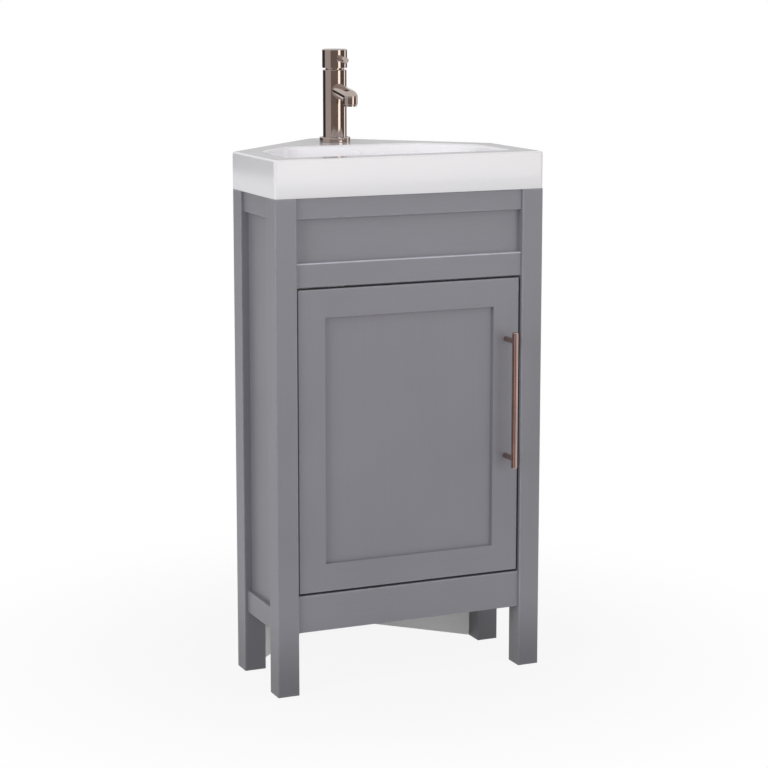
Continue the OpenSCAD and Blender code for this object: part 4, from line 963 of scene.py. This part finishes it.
class VANITY_OT_tap(bpy.types.Operator):
    """Turn the tap's flange, body, spindle and spout, and dress its cap, lever and aerator in bronze"""

    bl_idname = "vanity.tap"
    bl_label = "Tap"

    def execute(self, context):
        low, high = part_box("tap_flange")
        r = high.x
        flange = rounded_profile([
            (FLANGE_BORE, low.z, 0), (r - 0.4 * MM, low.z, 0), (r, low.z + 0.4 * MM, 0.2 * MM),
            (r, high.z, 1.3 * MM), (20.2 * MM, high.z, 0), (FLANGE_BORE, high.z, 0)])
        plated("tap_flange_turned", ring_surface(flange, TAP_AXES, 128), "tap_flange")

        low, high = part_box("tap_body")
        r, top, neck = high.x, high.z, high.z + 0.4 * MM
        bore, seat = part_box("tap_cartridge")[1].x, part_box("tap_cartridge")[0].z - 2 * MM
        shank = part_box("tap_shank")[1]
        pocket = shank.z + 6 * MM
        body = rounded_profile([
            (shank.x, low.z, 0), (r, low.z, 0), (r, top, 0.8 * MM), (bore, top, 0.3 * MM),
            (bore, seat, 0), (MIXING_R, seat, 0), (MIXING_R, pocket, 0), (shank.x, pocket, 0)])
        plated("tap_body_turned", ring_surface(body, TAP_AXES, 160), "tap_body")

        low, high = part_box("tap_spindle")
        collar = rod(high.x, neck, neck + COLLAR_H, 0.3 * MM, 0.3 * MM)
        plated("tap_neck_collar", turned(collar, TAP_AXES), "tap_spindle", "tap_spindle")
        head = rod(STEM_R, neck + COLLAR_H + JOINT_GAP, high.z, 0, 0.4 * MM)
        obj = piece("tap_spindle_top", *turned(head, TAP_AXES, 64))
        pin_low, pin_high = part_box("tap_pivot_pin")
        pin_r, pin_z = (pin_high.z - pin_low.z) / 2 + 0.1 * MM, (pin_high.z + pin_low.z) / 2
        hole = [(0, -0.02), (pin_r, -0.02), (pin_r, 0.02), (0, 0.02)]
        bored(obj, piece("pin_bore", *turned(hole, ((0, TAP_Y, pin_z), (0, 1, 0), (0, 0, 1), (1, 0, 0)), 48)))
        finish_piece(obj, brass(), "tap_spindle", "plain_brass", "tap_spindle")
        stem = rod(STEM_R, low.z, neck - JOINT_GAP, 0.5 * MM, 0)
        stand_in("tap_spindle_stem", turned(stem, TAP_AXES, 64), brass(), "tap_spindle",
                 "plain_brass", "tap_spindle")

        low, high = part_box("tap_aerator")
        foot, run = low.z + 3 * MM, OUTLET_REACH - SPOUT_START
        elbow = foot + OUTLET_DROP
        root = (0, TAP_Y - SPOUT_START, elbow + run * math.tan(SPOUT_SLOPE))
        plated("tap_spout_bar", spout_bar(root, run / math.cos(SPOUT_SLOPE)), "tap_spout")
        mouth = rod(MOUTH_R, foot, elbow, 0.5 * MM, 0, 6)
        plated("tap_spout_mouth", turned(mouth, upright(0, TAP_Y - OUTLET_REACH, 0), 96), "tap_spout")
        for node in ("tap_cap", "tap_lever_pin", "tap_aerator"):
            dress(NODES[node], bronze())
        return {"FINISHED"}


# ---- stage


def emptied(owner):
    """The node tree of a material or world, with nothing in it."""
    owner.use_nodes = True
    owner.node_tree.nodes.clear()
    return owner.node_tree


def lamp(name, place_at, target, size, power):
    """A rectangular lamp that faces a point."""
    data = bpy.data.lights.new(name, "AREA")
    data.shape = "RECTANGLE"
    data.size, data.size_y = size
    data.energy = power
    obj = bpy.data.objects.new(name, data)
    obj.location = place_at
    obj.rotation_euler = (Vector(target) - Vector(place_at)).to_track_quat("-Z", "Y").to_euler()
    obj.visible_glossy = False
    bpy.context.scene.collection.objects.link(obj)


def card(name, centre, radius, span, heights, tint, strength):
    """A curved card round an upright line that only reflections see. It runs between two
    bearings in degrees, counted from the camera's own and growing to the picture's right:
    point = centre + radius (sin b, -cos b, 0), with b turned by the camera's bearing."""
    columns = 13
    b = np.radians(np.linspace(span[0], span[1], columns)) + CAMERA_BEARING
    ring = np.stack([np.sin(b), -np.cos(b)], -1) * radius + np.array(centre)
    points = np.concatenate([np.column_stack([ring, np.full(columns, z)]) for z in heights])
    c = np.arange(columns - 1)
    obj = piece(name, points, list(np.stack([c, c + 1, c + columns + 1, c + columns], -1)))
    made = bpy.data.materials.new(name)
    tree = emptied(made)
    glow = add(tree, "ShaderNodeEmission", {"Color": rgba(tint), "Strength": strength})
    add(tree, "ShaderNodeOutputMaterial", {0: glow.outputs[0]})
    dress(obj, made)
    obj.visible_camera = obj.visible_diffuse = obj.visible_shadow = obj.visible_transmission = False


CAMERA_AT = (-1.4236, -3.3387, 1.1326)
CAMERA_TILT, CAMERA_BEARING = math.radians(9.42), math.radians(-23.57)
CAMERA_SHIFT = -0.0573
GREY, WARM = (1.0, 0.97, 0.96), (1.0, 0.94, 0.87)
DIM, RED = (1.0, 0.86, 0.77), (1.0, 0.62, 0.58)
TAP_CARDS = (("dark_left", (200, 260), DIM, 0.06), ("dark_right", (123, 160), DIM, 0.06),
             ("taupe", (-100, -36), GREY, 0.64), ("brown", (-36, 35), DIM, 0.26),
             ("bright", (35, 56), WARM, 2.6), ("shade", (56, 105), DIM, 0.16),
             ("rim_light", (105, 123), WARM, 1.9))
DECK_CARDS = (("deck_back", (150, 210), (1.0, 0.99, 1.0), 0.50),)
HANDLE_CARDS = (("handle_edge", (-92, -38), RED, 0.15), ("handle_left", (-38, -8), GREY, 0.53),
                ("handle_middle", (-8, 38), RED, 0.37), ("handle_right", (38, 92), GREY, 0.86))


class VANITY_OT_stage(bpy.types.Operator):
    """Set up the camera, the lamps, the pale floor and the white background"""

    bl_idname = "vanity.stage"
    bl_label = "Stage"

    def execute(self, context):
        s = context.scene.vanity_stage
        scene = context.scene
        scene.view_settings.view_transform = "Standard"

        data = bpy.data.cameras.new("camera")
        data.sensor_width = 36.0
        data.lens = s.lens
        data.shift_y = CAMERA_SHIFT
        data.clip_end = 50.0
        camera = bpy.data.objects.new("camera", data)
        camera.location = CAMERA_AT
        camera.rotation_euler = (math.pi / 2 - CAMERA_TILT, 0, CAMERA_BEARING)
        scene.collection.objects.link(camera)
        scene.camera = camera

        corners = 12.0 * np.array([(-1, -1, 0), (1, -1, 0), (1, 1, 0), (-1, 1, 0)])
        floor = piece("floor", corners, [np.arange(4)])
        made = bpy.data.materials.new("pale_floor")
        tree = emptied(made)
        matt = add(tree, "ShaderNodeBsdfDiffuse", {"Color": rgba(s.floor)})
        glow = add(tree, "ShaderNodeEmission", {"Color": (1, 1, 1, 1), "Strength": 1.0})
        away = add(tree, "ShaderNodeVectorMath", {0: place(tree)}, operation="LENGTH").outputs["Value"]
        fade = spread(tree, away, 0.25, 0.9, 0.90, 1.0, smooth=True)
        white = maths(tree, "MULTIPLY", fade, seen_or_mirrored(tree))
        mix = add(tree, "ShaderNodeMixShader", {0: white, 1: matt.outputs[0], 2: glow.outputs[0]})
        add(tree, "ShaderNodeOutputMaterial", {0: mix.outputs[0]})
        dress(floor, made)

        world = bpy.data.worlds.new("studio")
        tree = emptied(world)
        strength = add(tree, "ShaderNodeMix", {0: seen_or_mirrored(tree), 2: s.ambient, 3: 1.0},
                       data_type="FLOAT")
        back = add(tree, "ShaderNodeBackground", {"Color": (1, 1, 1, 1), "Strength": strength.outputs[0]})
        add(tree, "ShaderNodeOutputWorld", {0: back.outputs[0]})
        scene.world = world

        low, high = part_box("handle_bar")
        bar = ((low.x + high.x) / 2, (low.y + high.y) / 2)
        for cards, centre, radius, heights in (
                (TAP_CARDS, (0, TAP_Y), 3.0, (0.575, 1.40)), (DECK_CARDS, (0, TAP_Y), 3.0, (0.60, 1.40)),
                (HANDLE_CARDS, bar, 1.2, (0.01, 0.42))):
            for name, span, tint, strength in cards:
                card("card_" + name, centre, radius, span, heights, tint, strength)
        lamp("key", (0.5, -3.2, 0.8), (0, 0, 0.5), (2.4, 2.2), s.key)
        lamp("side", (-2.6, -1.2, 1.3), (0, 0, 0.5), (1.2, 2.4), s.side)
        lamp("top", (0, -0.2, 3.0), (0, 0, 0.8), (2.0, 2.0), s.top)
        return {"FINISHED"}


# ---- panel and running

SETTINGS = {
    "vanity_cabinet": CabinetSettings,
    "vanity_basin": BasinSettings,
    "vanity_metal": MetalSettings,
    "vanity_stage": StageSettings,
}
OPERATORS = (VANITY_OT_frame, VANITY_OT_boards, VANITY_OT_fittings, VANITY_OT_handle,
             VANITY_OT_basin, VANITY_OT_waste, VANITY_OT_tap, VANITY_OT_stage)


class VANITY_PT_panel(bpy.types.Panel):
    """Lists the settings and the operators"""

    bl_idname = "VANITY_PT_panel"
    bl_label = "Corner vanity unit"
    bl_space_type = "VIEW_3D"
    bl_region_type = "UI"
    bl_category = "Vanity"

    def draw(self, context):
        for attribute, group_class in SETTINGS.items():
            box = self.layout.box()
            box.label(text=group_class.__doc__)
            for key in group_class.__annotations__:
                box.prop(getattr(context.scene, attribute), key)
        for operator in OPERATORS:
            self.layout.operator(operator.bl_idname)


def register():
    """Registers the settings, the operators and the panel."""
    for attribute, group_class in SETTINGS.items():
        bpy.utils.register_class(group_class)
        setattr(bpy.types.Scene, attribute, PointerProperty(type=group_class))
    for item in OPERATORS + (VANITY_PT_panel,):
        bpy.utils.register_class(item)


def unregister():
    """Takes away what register added."""
    for item in reversed(OPERATORS + (VANITY_PT_panel,)):
        bpy.utils.unregister_class(item)
    for attribute, group_class in SETTINGS.items():
        delattr(bpy.types.Scene, attribute)
        bpy.utils.unregister_class(group_class)


def main():
    register()
    for operator in OPERATORS:
        section, name = operator.bl_idname.split(".")
        getattr(getattr(bpy.ops, section), name)()


if __name__ == "__main__":
    main()
